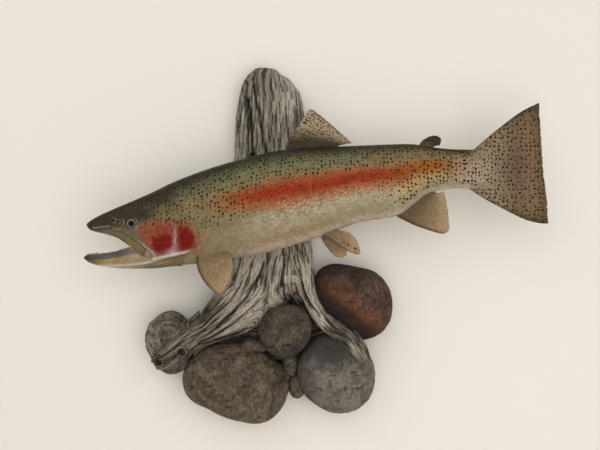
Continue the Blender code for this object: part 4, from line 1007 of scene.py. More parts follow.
def add_jaw_bone(shell, paints, side):
    """The long upper-jaw bone that hangs over the corner of the mouth."""
    path, across = ribbon(MAXILLA, 70)
    turn = np.linspace(0, 2 * math.pi, 40, endpoint=False)
    reach = np.cos(turn)
    front = np.sin(turn) > 0
    arch = np.sqrt(np.maximum(0, 1 - reach**4))
    ridge = 0.0004 * bell(reach - 0.35, 0.12)
    outer = 0.0010 + 0.0020 * arch - 0.0008 * bell(reach - 0.55, 0.10) + ridge
    out = np.where(front, outer, 0.0004 + 0.0003 * arch)
    x = path[:, :1] + across[:, :1] * path[:, 2:] * reach
    z = path[:, 1:2] + across[:, 1:] * path[:, 2:] * reach
    y = half_width_at(x, z) + out
    points = SNOUT + np.stack([x, bend(x) + side * y, z], -1)
    along = np.linspace(0, 1, len(path))[:, None] + 0 * x
    border = smooth(0.84, 0.92, along + 0.05 * reach)
    tone = tinted(paints.maxilla, 0.45 * border, 0.36 * (paints.stripe + paints.white))
    rim = smooth(0.80, 0.95, np.abs(reach + 0 * x)) + bell(along - 0.82, 0.03)
    tone = tinted(tone, 0.55 * rim, paints.head_top)
    tone = tinted(tone, smooth(0.40, 0.18, along) * 0.85, paints.head_side)
    bake = np.stack([0.90 + 0.09 * along, 0.03 + 0.05 * (side > 0) + 0.04 * (turn / 7 + 0 * x)], -1)
    faces = grid_faces(len(path), len(turn), closed=True, turned=side > 0)
    first, last = np.arange(len(turn)), np.arange(len(turn)) + (len(path) - 1) * len(turn)
    caps = [first, last[::-1]] if side > 0 else [first[::-1], last]
    shell.add(points, faces + [cap.tolist() for cap in caps], np.stack([x, z], -1), bake,
              tone.reshape(-1, 3), 0.0)


FLESH = ("head", "jaw_lower", "throat", "gill_cover", "maxilla", "trunk", "tail_stem")


class TROUT_OT_skin(bpy.types.Operator):
    """Make the one skin that stands for all the nodes of flesh"""
    bl_idname = "trout.skin"
    bl_label = "Skin"

    def execute(self, context):
        sizes, paints = chosen(context.scene.trout_sizes), chosen(context.scene.trout_colours)
        shell = Shell()
        rows, t = body_rows(), np.linspace(0, 1, 55)
        left = add_flank(shell, paints, sizes.coat_depth, -1, rows, t)
        right = add_flank(shell, paints, sizes.coat_depth, 1, rows, t)
        add_mouth(shell, paints, left, right, rows)
        add_jaw_bone(shell, paints, -1)
        add_jaw_bone(shell, paints, 1)
        finish = skin_finish("trout_skin", sizes.spot_spacing, sizes.spot_radius, paints.spot)
        skin = shell.make("trout_skin", finish)
        placed(skin, "skin", *(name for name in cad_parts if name.startswith(FLESH)))
        return {"FINISHED"}


# ---- scales -----------------------------------------------------------------------------------------------
class Flank:
    """Places and outward directions on one flank, by x and the share of the way from back to belly."""

    def __init__(self, side):
        self.x = np.linspace(0.110, BODY_END - 0.001, 360)
        self.q = np.linspace(0, 1, 241)
        t = np.linspace(0, 1, 91)
        up, up_n = quarter(self.x, t, side, False)
        low, low_n = quarter(self.x, t, side, True)
        points = np.concatenate([up, low[:, -2::-1]], 1)
        normal = np.concatenate([up_n, low_n[:, -2::-1]], 1)
        steps = np.linalg.norm(np.diff(points, axis=1), axis=-1)
        run = np.concatenate([np.zeros((len(self.x), 1)), np.cumsum(steps, 1)], 1)
        self.girth = run[:, -1]
        both = np.concatenate([points, normal], -1)
        self.table = np.stack([np.stack([np.interp(self.q * row[-1], row, column) for column in line.T], -1)
                               for row, line in zip(run, both)])

    def at(self, x, q):
        u = np.clip((x - self.x[0]) / (self.x[1] - self.x[0]), 0, len(self.x) - 1.001)
        v = np.clip(q, 0, 1) * (len(self.q) - 1) * 0.99999
        i, j = u.astype(int), v.astype(int)
        u, v = (u - i)[..., None], (v - j)[..., None]
        found = (self.table[i, j] * (1 - u) * (1 - v) + self.table[i + 1, j] * u * (1 - v)
                 + self.table[i, j + 1] * (1 - u) * v + self.table[i + 1, j + 1] * u * v)
        return found[..., :3], found[..., 3:] / np.linalg.norm(found[..., 3:], axis=-1, keepdims=True)


# A scale from above: (along, across, height) in shares of its half length, half width and lift.
SCALE_RIM_LEFT = [(-0.72, 0.62, 0.06), (-0.05, 1.0, 0.34), (0.50, 0.84, 0.66), (0.86, 0.46, 0.92)]
SCALE_RIM = [(-1.0, 0.0, 0.0), *SCALE_RIM_LEFT, (1.0, 0.0, 1.0),
             *((along, -across, height) for along, across, height in reversed(SCALE_RIM_LEFT))]
SCALE_CROWN, SCALE_KEEL = (0.15, 0.0, 0.82), (0.0, 0.0, 0.18)
# How bright each of these points is: darker rims, as painted shade where a scale's root lies under the scale
# ahead and on its keel, and a painted highlight on its crown; the rim from its root to its free edge and
# back, the crown, the keel.
SCALE_PAINTED_LIGHT = np.array([0.42, 0.46, 0.60, 0.78, 0.94, 1.02, 0.94, 0.78, 0.60, 0.46, 1.20, 0.4])


def scale_lattice(flank, rows):
    """Places (x, share down, half length, half row) of the scales, in staggered rows."""
    ahead = [0.124]
    while ahead[-1] < BODY_END - 0.004:
        girth = float(np.interp(ahead[-1], flank.x, flank.girth))
        ahead.append(ahead[-1] + girth / rows)
    ahead = np.array(ahead)
    girth = np.interp(ahead, flank.x, flank.girth)
    stations, lines = np.meshgrid(np.arange(len(ahead)), np.arange(rows), indexing="ij")
    kept = (stations + lines) % 2 == 0
    i, j = stations[kept], lines[kept]
    return ahead[i], (j + 0.5) / rows, girth[i] / rows


def add_scales(name, side, low, high, sizes, paints, finish):
    """One joined mesh of scales between two shares of the way down a flank."""
    flank = Flank(side)
    x, q, step = scale_lattice(flank, sizes.scale_rows)
    chosen = (q >= low) & (q < high)
    x, q, step = x[chosen], q[chosen], step[chosen]
    root, normal = flank.at(x, q)
    behind, _ = gill_flap(x, root[:, 2] - SNOUT[2])
    chosen = (behind > 0.0012) & (x < BODY_END - 0.006)
    x, q, step, root, normal, behind = (a[chosen] for a in (x, q, step, root, normal, behind))
    ahead, _ = flank.at(x + 0.002, q)
    along = ahead - root
    along /= np.linalg.norm(along, axis=1, keepdims=True)
    across = np.cross(normal, along)
    shape = np.array([*SCALE_RIM, SCALE_CROWN, SCALE_KEEL])
    rng = np.random.default_rng(12 + side)
    small = (0.55 + 0.45 * smooth(0.0, 0.020, behind)) * (1 - 0.65 * smooth(0.645, 0.678, x))
    length, half = step * 2.15 * small ** 0.3, step * 1.10
    lift = sizes.scale_lift * small * (0.75 + 0.25 * step / 0.0019)
    jitter = rng.uniform(0.93, 1.07, (len(x), 1))
    local = shape[None] * np.stack([length, half, lift], -1)[:, None]
    crowned = np.clip(1 - 0.25 * shape[None, :, 1] ** 2, 0, 1)
    heights = local[..., 2] * crowned * jitter - sizes.coat_depth * 1.02
    points = (root[:, None] + along[:, None] * local[..., :1] + across[:, None] * local[..., 1:2]
              + normal[:, None] * heights[..., None])
    top, _, _, bottom, _, _, _ = section(x)
    z = root[:, 2] - SNOUT[2]
    down = np.clip((top - z) / (top - bottom), 0, 1)
    scatter = rng.normal(0, 0.014, len(x)) * smooth(0.03, 0.10, down)
    tone, spots = lay(paints, x, z, np.clip(down + scatter, 0, 1))
    # A painted glint along the lower flank: there some scales are painted whiter, scales are brighter, and
    # each scale's painted shade and highlight are stronger; elsewhere scales only differ in tone at random.
    painted_glint = smooth(0.22, 0.34, x) * smooth(0.60, 0.50, x) * bell(down - 0.64, 0.13)
    tone = tinted(tone, 0.20 * painted_glint * (rng.uniform(0, 1, len(x)) > 0.5), paints.white)
    bright = 1 + 0.06 * painted_glint + (0.15 + 0.14 * painted_glint) * rng.uniform(-1, 1, len(x))
    scale_painted_light = SCALE_PAINTED_LIGHT[None] + 0.55 * painted_glint[:, None] * (SCALE_PAINTED_LIGHT[None] - 0.85)
    tones = tone[:, None] * scale_painted_light[..., None] * bright[:, None, None]
    girth = np.interp(x, flank.x, flank.girth)
    place = np.stack([x[:, None] + local[..., 0], -side * (q * girth)[:, None] - local[..., 1]], -1)
    bake = bake_place(x, q, side)[:, None] + shape[None, :, :2] * 0.0015
    n, k = len(SCALE_RIM), len(shape)
    ring = np.arange(n)
    nearer = np.stack([ring, (ring + 1) % n, np.full(n, n)], -1)
    under = np.stack([(ring + 1) % n, ring, np.full(n, n + 1)], -1)
    faces = np.concatenate([nearer, under])[:, ::-1]
    faces = (faces[None] + (np.arange(len(x)) * k)[:, None, None]).reshape(-1, 3).tolist()
    piece = make_piece(name, points, faces, maps={"BodyMap": place, "OFBake": bake},
                       values={"Spots": np.repeat(spots, k)}, colours={"Lay": tones}, finish=finish, sharp=50)
    placed(piece, "skin")


class TROUT_OT_scales(bpy.types.Operator):
    """Make the scales over the skin, in three joined meshes on each side"""
    bl_idname = "trout.scales"
    bl_label = "Scales"

    def execute(self, context):
        sizes, paints = chosen(context.scene.trout_sizes), chosen(context.scene.trout_colours)
        finish = skin_finish("trout_scales", sizes.spot_spacing, sizes.spot_radius, paints.spot, coat=0.02)
        for hand, side in (("left", -1), ("right", 1)):
            for k, level in enumerate(("upper", "middle", "lower")):
                add_scales(f"scales_{level}_{hand}", side, k / 3, (k + 1) / 3, sizes, paints, finish)
        return {"FINISHED"}


# ---- eyes, teeth and tongue -------------------------------------------------------------------------------
def turned_form(profile, around):
    """Points of a profile of (radius, height) turned round its own axis, ring by ring."""
    turn = np.linspace(0, 2 * math.pi, around, endpoint=False)
    radius, height = np.array(profile, float).T
    return np.stack([radius[:, None] * np.cos(turn), radius[:, None] * np.sin(turn),
                     height[:, None] + 0 * turn], -1)


# Rings of the iris from the pupil out: (distance from its middle, brightness).
IRIS_RINGS = ((0.0, 0.10), (0.55, 0.16), (0.66, 0.34), (0.75, 1.2), (0.81, 1.5), (0.86, 0.3))
EYE_EDGE = (0.93, (0.03, 0.026, 0.02))
PUPIL = (0.004, 0.004, 0.004)


def eye_finish(iris):
    """A glass eye: the map's first number is the distance from the pupil's middle."""
    finish = Finish("glass_eye", 0.10, coat_weight=0.0, specular_ior_level=0.05)
    place = finish.node("ShaderNodeSeparateXYZ", {0: finish.uv("EyeMap")})
    out, turn = place.outputs[0], place.outputs[1]
    rays = finish.node("ShaderNodeCombineXYZ", {0: finish.times(out, 2.0), 1: finish.times(turn, 34.0)})
    streak = finish.noise(rays.outputs[0], 1.0, 3.0)
    ring = finish.ramp(out, *((at, bright * iris) for at, bright in IRIS_RINGS), EYE_EDGE)
    ring = finish.mixed(finish.between(streak, 0.42, 0.62, 0.0, 0.75), ring, (0.05, 0.045, 0.035))
    return finish.set(Base_Color=finish.mixed(finish.between(out, 0.43, 0.46), PUPIL, ring))


class TROUT_OT_eyes(bpy.types.Operator):
    """Make the two glass eyes, domed and set as deep as the solids' eyes"""
    bl_idname = "trout.eyes"
    bl_label = "Eyes"

    def execute(self, context):
        paints = chosen(context.scene.trout_colours)
        finish = eye_finish(paints.iris)
        lean = np.linspace(0, math.pi, 41)
        dome = [(math.sin(a) * 0.985, math.cos(a) * (1.0 if a < math.pi / 2 else 0.8)) for a in lean]
        form = turned_form(dome, 64)
        for name, side in (("eye_left", -1), ("eye_right", 1)):
            proud = half_width_at(np.array(EYE_X), np.array(EYE_Z)) - EYE_DEPTH * EYE_SUNK
            middle = SNOUT + np.array((EYE_X, bend(EYE_X) + side * proud, EYE_Z))
            points = middle + np.stack([form[..., 0] * EYE_RADIUS, side * form[..., 2] * EYE_DEPTH,
                                        form[..., 1] * EYE_RADIUS], -1)
            out = np.hypot(form[..., 0], form[..., 1])
            turn = np.broadcast_to(np.linspace(0, 1, 64, endpoint=False), out.shape)
            faces = grid_faces(len(dome), 64, closed=True, turned=side > 0)
            piece = make_piece("glass_" + name, points, faces, maps={"EyeMap": np.stack([out, turn], -1)},
                               finish=finish)
            placed(piece, "eye", name)
        return {"FINISHED"}


TOOTH_ROOT = 0.0012  # how deep a tooth is set in the gum
TOOTH_LEVELS = ((0.0, 0.00115, 0.0), (0.5, 0.00085, 0.12), (0.85, 0.00040, 0.34))  # height, radius, lean
TOOTH_SIDES = 6


def tooth_rows(paints, height):
    """Points and faces of the small hooked teeth along both jaws."""
    points, faces, tones = [], [], []
    rng = np.random.default_rng(4)
    ring = np.linspace(0, 2 * math.pi, TOOTH_SIDES, endpoint=False)
    for jaw, count in ((1, 34), (-1, 32)):
        for side in (-1, 1):
            for x in np.linspace(0.006, 0.074, count):
                x = np.array(x + rng.uniform(-0.0006, 0.0006))
                _, up, low, _, w_up, w_low, jaw_x = section(x)
                tall = height * rng.uniform(0.6, 1.15)
                tall *= 1.25 if x < 0.02 else 1.0
                tall *= 0.55 if jaw > 0 else 0.80
                y = side * ((w_up if jaw > 0 else w_low) - LIP * 0.42)
                at_x = x if jaw > 0 else jaw_x
                base = SNOUT + np.array((at_x, bend(at_x) + y, (up if jaw > 0 else low) + jaw * TOOTH_ROOT))
                start = len(points)
                for level, wide, lean in TOOTH_LEVELS:
                    for a in ring:
                        points.append(base + (math.cos(a) * wide + lean * tall,
                                              math.sin(a) * wide - side * lean * tall * 0.4,
                                              -jaw * level * (tall + TOOTH_ROOT)))
                points.append(base + (0.52 * tall, -side * 0.2 * tall, -jaw * (tall + TOOTH_ROOT)))
                sides = grid_faces(len(TOOTH_LEVELS), TOOTH_SIDES, start=start, closed=True, turned=jaw > 0)
                tip = len(points) - 1
                last = tip - TOOTH_SIDES
                point = [[last + k, last + (k + 1) % TOOTH_SIDES, tip] for k in range(TOOTH_SIDES)]
                faces += sides + [face if jaw < 0 else face[::-1] for face in point]
                tones += [paints.mouth] * TOOTH_SIDES + [paints.tooth] * (len(points) - start - TOOTH_SIDES)
    return np.array(points), faces, np.array(tones)


TONGUE_X, TONGUE_Z = 0.056, -0.0530
TONGUE_RADII = (0.034, 0.0092, 0.0056)  # along, across, up
TONGUE_RISE = 0.0036  # how much higher its root lies than its middle


class TROUT_OT_mouth(bpy.types.Operator):
    """Make the teeth and the tongue"""
    bl_idname = "trout.mouth"
    bl_label = "Teeth and tongue"

    def execute(self, context):
        sizes, paints = chosen(context.scene.trout_sizes), chosen(context.scene.trout_colours)
        points, faces, tones = tooth_rows(paints, sizes.tooth_height)
        bone = Finish("trout_teeth", 0.28, coat_weight=0.4)
        cloudy = bone.noise(bone.metres(), 1500.0)
        bone.set(Base_Color=bone.mixed(bone.between(cloudy, 0.3, 0.7, 0.0, 0.4), bone.tone("Lay"),
                                       (0.36, 0.30, 0.20)))
        placed(make_piece("teeth", points, faces, colours={"Lay": tones}, finish=bone.material), "skin")
        lean = np.linspace(0, math.pi, 33)
        form = turned_form([(math.sin(a), math.cos(a)) for a in lean], 56)
        x, y, z = form[..., 2], form[..., 0], form[..., 1]
        groove = 0.16 * bell(y, 0.22) * smooth(-0.1, 0.6, z)
        long, wide, tall = TONGUE_RADII
        place = np.stack([TONGUE_X + long * x, bend(TONGUE_X) + wide * y,
                          TONGUE_Z + tall * (z - groove) + TONGUE_RISE * x], -1)
        finish = Finish("trout_tongue", 0.22, coat_weight=0.6, coat_roughness=0.1)
        wet = finish.noise(finish.metres(), 900.0, 3.0)
        finish.bump(wet, 0.35, 0.0005)
        tone = finish.mixed(finish.between(wet, 0.35, 0.7, 0.0, 0.5), paints.tongue, 0.55 * paints.tongue)
        piece = make_piece("trout_tongue", SNOUT + place, grid_faces(*form.shape[:2], closed=True),
                           finish=finish.set(Base_Color=tone))
        placed(piece, "mouth", "tongue")
        return {"FINISHED"}


# ---- fins -------------------------------------------------------------------------------------------------
def fin_place(fin, s, t):
    """Side-view places on a fin: s from the leading to the trailing edge, t from the base to the margin."""
    base, margin = through(fin["base"], s)[:, None], through(fin["margin"], s)[:, None]
    lead, trail = (through(fin[edge], t.ravel()).reshape(*t.shape, 2) for edge in ("lead", "trail"))
    ends = (("base", 0), ("base", -1), ("margin", 0), ("margin", -1))
    corners = [np.array(fin[line][end], float) for line, end in ends]
    s, t = s[:, None, None], t[..., None]
    flat = ((1 - s) * (1 - t) * corners[0] + s * (1 - t) * corners[1] + (1 - s) * t * corners[2]
            + s * t * corners[3])
    return (1 - t) * base + t * margin + (1 - s) * lead + s * trail - flat


def ray_profile(turns, t):
    """Height of the rays, from 0 to 1: each splits in two towards the margin."""
    single = np.abs(np.cos(math.pi * turns)) ** 1.5
    double = np.abs(np.cos(2 * math.pi * turns + math.pi / 2)) ** 1.2
    return single + (double * 0.9 - single) * smooth(0.42, 0.70, t)


TAIL_ROOT_THICKER = 2.6
FLESHY_THICKNESS = 0.0024
# Where a fin's faces lie in BodyMap, clear of the body and of each other, so that their spots differ.
FIN_MAP_RISE, FAR_FACE_SHIFT = 0.4, (0.0, 0.9)


def fin_sheet(name, fin, sizes):
    """Points, faces and maps of a fin with two faces and a thin edge, and its grid of places."""
    rays = fin["rays"]
    across = 6 * max(rays, 10) + 1
    along = 44 if name == "fin_tail" else 34
    s = np.linspace(0, 1, across)
    rng = np.random.default_rng(len(name) + rays)
    nibble = np.interp(s, np.linspace(0, 1, 2 * max(rays, 6) + 1), rng.uniform(0, 1, 2 * max(rays, 6) + 1))
    notch = 0.0 * s
    if rays:
        notch = 0.012 * (1 - np.abs(np.cos(2 * math.pi * rays * s + math.pi / 2))) + 0.012 * nibble
    t = np.linspace(0, 1, along)[None] * (1 - notch[:, None])
    place = fin_place(fin, s, t)
    x, z = place[..., 0], place[..., 1]
    side = fin.get("side", 0)
    root, tip = fin.get("out", (0, 0))
    ripple = 0.0011 * t * np.sin(2 * math.pi * (s[:, None] * 1.6 + 0.3 * t)) * (1 if rays else 0)
    y = bend(x) + side * (root + (tip - root) * t**0.8) + ripple
    middle = SNOUT + np.stack([x, y, z], -1)
    outward = across_normals(middle)
    outward *= np.sign(outward[..., 1:2] + 1e-12) * -1
    root_thick = sizes.fin_root * (TAIL_ROOT_THICKER if name == "fin_tail" else 1.0)
    thick = sizes.fin_edge + (root_thick - sizes.fin_edge) * (1 - t) ** 1.5
    if not rays:
        arch = np.sin(math.pi * np.clip(s, 0.03, 0.97))[:, None]
        thick = FLESHY_THICKNESS * np.sqrt(np.clip(1 - t**2, 0.02, 1)) * np.sqrt(np.clip(arch, 0.05, 1))
    ray = ray_profile(rays * s[:, None] + 0 * t, t) if rays else 0 * t
    edge = np.minimum(1, np.minimum(1 - t, 0.02 + np.minimum(s, 1 - s)[:, None] * 12) / 0.06)
    inward = smooth(0.0, 0.02, np.minimum(s, 1 - s)[:, None])
    raised = sizes.ray_height * ray * smooth(1.0, 0.9, t) * inward
    half = thick * (0.35 + 0.65 * np.clip(edge, 0, 1)) + raised
    near = middle + outward * half[..., None]
    far = middle - outward * half[..., None]
    n = across * along
    faces = grid_faces(across, along) + grid_faces(across, along, start=n, turned=True)
    rim = np.concatenate([np.arange(along), along * np.arange(2, across + 1) - 1,
                          n - 2 - np.arange(along - 1), along * np.arange(across - 2, 0, -1)])
    follow = np.roll(rim, -1)
    faces += np.stack([follow, rim, rim + n, follow + n], -1).tolist()
    points = np.concatenate([near.reshape(-1, 3), far.reshape(-1, 3)])
    rays_map = np.stack([rays * s[:, None] + 0 * t, t], -1).reshape(-1, 2)
    metric = np.stack([x, z + FIN_MAP_RISE], -1).reshape(-1, 2)
    both_faces = np.concatenate([metric, metric + FAR_FACE_SHIFT])
    return points, faces, np.concatenate([rays_map] * 2), both_faces, s[:, None] + 0 * t, t


def fin_paint(name, paints, s, t, x):
    """(colours, spot densities) over a fin."""
    base = np.broadcast_to(paints.fin, (*s.shape, 3))
    spots = 0 * s
    edges = np.maximum(smooth(0.07, 0.0, s), smooth(0.93, 1.0, s))
    if name == "fin_tail":
        tone = paints.tail
        tone = tinted(tone, 0.74 * bell(s - 0.5, 0.28) * bell(t - 0.50, 0.30), paints.fin_dark)
        tone = tinted(tone, 0.30 * np.maximum(smooth(0.26, 0.0, s), smooth(0.76, 1.0, s)), paints.fin_dark)
        tone = tinted(tone, 0.10 * bell(s - 0.55, 0.30) * bell(t - 0.60, 0.30), paints.stripe)
        tone = tinted(tone, 0.50 * smooth(0.80, 1.0, t), paints.fin_dark)
        tone = tinted(tone, 0.70 * smooth(0.34, 0.10, t) * bell(s - 0.45, 0.32), paints.flank)
        tone = tinted(tone, 0.50 * edges, paints.ridge)
        tone = tinted(tone, smooth(0.706, 0.664, x), tail_root(paints))
        rims = np.maximum(smooth(0.05, 0.0, s), smooth(0.96, 1.0, s))
        return tinted(tone, 0.55 * rims, paints.ridge), 1.06 + 0 * s
    if name == "fin_dorsal":
        tone = tinted(tinted(base, 0.20, paints.back), 0.35, paints.belly)
        tone = tinted(tone, 0.95 * smooth(0.66 + 0.25 * s, 0.30 + 0.15 * s, t), paints.ridge)
        return tinted(tone, 0.6 * smooth(0.90, 1.0, t), paints.fin_dark), 0.98 * smooth(0.02, 0.12, t) + 0 * s
    if name == "fin_adipose":
        return tinted(paints.ridge, 0.35 * smooth(0.6, 0.1, t), paints.back), 0.25 + 0 * s
    if name == "fin_pelvic_left":
        spots = 0.85 * bell(s - 0.28, 0.12) * smooth(0.2, 0.4, t)
    tone = tinted(base, 0.75 * smooth(0.45, 0.0, t), paints.head_side)
    tone = tinted(tone, 0.80 * smooth(0.13, 0.0, s), paints.fin_dark)
    tone = tinted(tone, 0.40 * smooth(0.70, 1.0, s) * smooth(0.3, 0.6, t), paints.belly)
    if name == "fin_anal":
        tone = tinted(tone, 0.45 * smooth(0.75, 0.25, t), paints.fin_dark)
    return tinted(tone, 0.12 * smooth(0.70, 0.95, t), paints.under_band), spots


def fin_finish(name, paints, sizes, rays, stripe, rows=False, apart=0.92):
    """Skin of a fin, with dark lines between its rays and spots that can lie in rows along them."""
    finish = Finish(name, 0.50, coat_weight=0.02, coat_roughness=0.14,
                    specular_ior_level=0.10, specular_tint=VARNISH_TINT)
    place = finish.node("ShaderNodeSeparateXYZ", {0: finish.uv("RayMap")})
    turns, out = place.outputs[0], place.outputs[1]
    warp = finish.noise(finish.uv("BodyMap"), 90.0, 2.0)
    turns = finish.plus(turns, finish.times(warp, 0.5))
    wave = finish.sums("ABSOLUTE", finish.sums("SINE", finish.times(turns, 2 * math.pi)))
    gap = finish.between(wave, 0.52, 0.98)
    fade = finish.times(finish.between(out, 0.02, 0.20, 0.3 * stripe, stripe),
                       finish.between(out, 0.62, 0.92, 1.0, 0.25))
    amount = finish.times(gap, fade)
    mottle = finish.noise(finish.uv("BodyMap"), 160.0, 3.0)
    joints = finish.sums("SINE", finish.times(out, 210.0))
    base = finish.mixed(amount if rays else 0.0, finish.tone("Lay"), paints.fin_dark)
    base = finish.mixed(finish.between(mottle, 0.35, 0.7, 0.0, 0.35), base, (0.35, 0.29, 0.20), "MULTIPLY")
    base = finish.mixed(finish.between(joints, 0.4, 1.0, 0.0, 0.05 if rays else 0.0), base, paints.fin_dark)
    spacing = sizes.spot_spacing * apart
    along = finish.node("ShaderNodeCombineXYZ", {0: finish.times(place.outputs[0], 1.5 * spacing),
                                                 1: finish.times(out, 15 * spacing)}).outputs[0]
    base = spotted(finish, base, spacing, sizes.spot_radius, paints.spot, along if rows else None)
    finish.bump(finish.plus(mottle, finish.times(joints, 0.1)), 0.4, 0.0005)
    return finish.set(Base_Color=base)


class TROUT_OT_fins(bpy.types.Operator):
    """Make the eight fins, of which all but the fleshy one have rays"""
    bl_idname = "trout.fins"
    bl_label = "Fins"

    def execute(self, context):
        sizes, paints = chosen(context.scene.trout_sizes), chosen(context.scene.trout_colours)
        rayed = fin_finish("fin_rayed", paints, sizes, True, 0.95)
        spotted_fin = fin_finish("fin_spotted", paints, sizes, True, 0.32, apart=1.06)
        fleshy = fin_finish("fin_fleshy", paints, sizes, False, 0.0)
        in_rows = fin_finish("fin_spotted_in_rows", paints, sizes, True, 0.45, rows=True)
        for name, fin in FINS.items():
            points, faces, rays_map, metric, s, t = fin_sheet(name, fin, sizes)
            x = points[:len(points) // 2, 0].reshape(s.shape) - SNOUT[0]
            tone, spots = fin_paint(name, paints, s, t, x)
            finish = {"fin_tail": spotted_fin, "fin_dorsal": in_rows, "fin_adipose": fleshy}.get(name, rayed)
            piece = make_piece("rayed_" + name, points, faces, maps={"RayMap": rays_map, "BodyMap": metric},
                               values={"Spots": np.tile(np.broadcast_to(spots, s.shape).ravel(), 2)},
                               colours={"Lay": np.tile(tone.reshape(-1, 3), (2, 1))}, finish=finish)
            placed(piece, "fin", name)
        return {"FINISHED"}


# ---- the mount --------------------------------------------------------------------------------------------
def limb_shell(stations, around=56, steps=90):
    """Points and faces of a closed limb."""
    path, across = ribbon(stations, steps)
    turn = np.linspace(0, 2 * math.pi, around, endpoint=False)
    wide = np.sign(np.cos(turn)) * np.abs(np.cos(turn)) ** 0.85
    x = path[:, :1] + across[:, :1] * path[:, 2:3] * wide
    z = path[:, 1:2] + across[:, 1:] * path[:, 2:3] * wide
    y = path[:, 3:4] + path[:, 4:5] * np.sin(turn)
    points = np.stack([x, y, z], -1).reshape(-1, 3)
    faces = grid_faces(steps, around, closed=True)
    faces += [list(range(around))[::-1], list(range((steps - 1) * around, steps * around))]
    return points, faces


def grain_of(points):
    """(across, along) in the wood's grain at points: it runs down the trunk and out along the roots."""
    x, y, z = points[:, 0], points[:, 1], points[:, 2]
    total, found = np.zeros(len(points)), np.zeros((len(points), 2))
    for name, stations in LIMBS.items():
        path, across = ribbon(stations, 60)
        lengths = np.concatenate([[0], np.cumsum(np.linalg.norm(np.diff(path[:, :2], axis=0), axis=1))])
        gap = np.stack([x[:, None] - path[:, 0], z[:, None] - path[:, 1]], -1)
        far = np.linalg.norm(gap, axis=-1) / np.maximum(path[:, 2], 0.006)
        depth = np.abs(y[:, None] - path[:, 3]) / np.maximum(path[:, 4], 0.006)
        reach = np.hypot(far, 0.8 * depth)
        i = reach.argmin(1)
        offset = (gap[np.arange(len(i)), i] * across[i]).sum(-1) / np.maximum(path[i, 2], 0.006)
        hand = -1 if across[len(path) // 2, 0] < 0 and name != "saddle" else 1
        low, high = GRAIN_SPAN[name]
        placed_across = low + (high - low) * (np.clip(offset * hand, -1.3, 1.3) + 1) / 2
        weight = bell(np.maximum(reach[np.arange(len(i)), i] - 0.55, 0), 0.30) + 1e-6
        weight *= 0.5 if name == "trunk" else 1.0
        found += weight[:, None] * np.stack([placed_across, GRAIN_START[name] + lengths[i]], -1)
        total += weight
    return found / total[:, None]


# Cracks of the driftwood: (line, half width, depth). Knots: (middle, radius, depth).
CRACKS = [([(0.0270, -0.185), (0.0300, -0.235), (0.0280, -0.270), (0.0330, -0.312)], 0.0016, 0.0090),
          ([(0.0000, -0.190), (0.0012, -0.210), (0.0008, -0.238)], 0.0016, 0.0060),
          ([(-0.0365, 0.075), (-0.0350, 0.030), (-0.0330, -0.070)], 0.0013, 0.0060),
          ([(-0.0325, 0.045), (-0.0290, 0.000), (-0.0240, -0.065)], 0.0022, 0.0090),
          ([(-0.0230, 0.070), (-0.0190, 0.039), (-0.0110, 0.000), (-0.0020, -0.050)], 0.0015, 0.0050),
          ([(0.0060, 0.080), (0.0090, 0.030), (0.0060, -0.030)], 0.0011, 0.0035),
          ([(-0.005, -0.235), (-0.022, -0.275), (-0.050, -0.312), (-0.085, -0.345)], 0.0018, 0.0060),
          ([(0.045, -0.225), (0.058, -0.262), (0.066, -0.292), (0.090, -0.326)], 0.0012, 0.0045)]
KNOTS = [((-0.0254, -0.0509), 0.0040, 0.010), ((-0.1430, -0.3850), 0.0062, 0.006),
         ((-0.1800, -0.4020), 0.0060, 0.006)]


def driftwood_relief(points, normals, depth):
    """(how far the wood's surface stands out, how deep in a groove it is from 0 to 1)."""
    grain = grain_of(points)
    seat = np.stack([grain[:, 0] * 0.060, grain[:, 1], points[:, 1] * 0.8], -1)
    sway = rough(seat * (1.0, 0.22, 1.0), 0.020, 21, 2)[:, None] * (0.006, 0.0, 0.003)
    lines = seat + sway
    calm = smooth(-0.15, 0.35, rough(points * (1.0, 1.0, 0.35), 0.030, 27, 2))
    calm = np.maximum(calm, smooth(-0.004, 0.022, points[:, 0]) * smooth(-0.080, -0.040, points[:, 2]))
    ridges = 1 - np.abs(rough(lines * (1.0, 0.085, 1.0), 0.0066, 22, 3)) * (2.1 - 1.3 * calm)
    fine = rough(lines * (1.0, 0.12, 1.0), 0.0022, 24, 2)
    broad = rough(lines * (1.0, 0.12, 1.0), 0.022, 26, 2)
    height = depth * (0.9 * ridges + 0.35 * fine) + 0.0035 * broad
    dark = smooth(0.20, -0.80, ridges + 0.45 * fine)
    facing = smooth(0.1, 0.5, -normals[:, 1])
    for line, width, deep in CRACKS:
        wobble = 0.0018 * rough(points, 0.012, 31)
        near = bell(to_line(points[:, 0] + wobble, points[:, 2], line)[0], width) * facing
        height = height - deep * near
        dark = np.maximum(dark, near)
    for middle, radius, deep in KNOTS:
        away = np.hypot(points[:, 0] - middle[0], points[:, 2] - middle[1]) / radius
        sunk = facing * deep * (1 - smooth(0.3, 1.0, away))
        height = height - sunk + facing * 0.0012 * bell(away - 1.5, 0.4)
        rings = smooth(0.1, 0.8, np.cos(2 * math.pi * away / 0.9)) * bell(away - 1.6, 0.9)
        near = bell(away, 2.6) * facing
        dark = np.maximum(dark * (1 - near) + near * rings, facing * (1 - smooth(0.5, 1.0, away)))
    return height, dark, grain


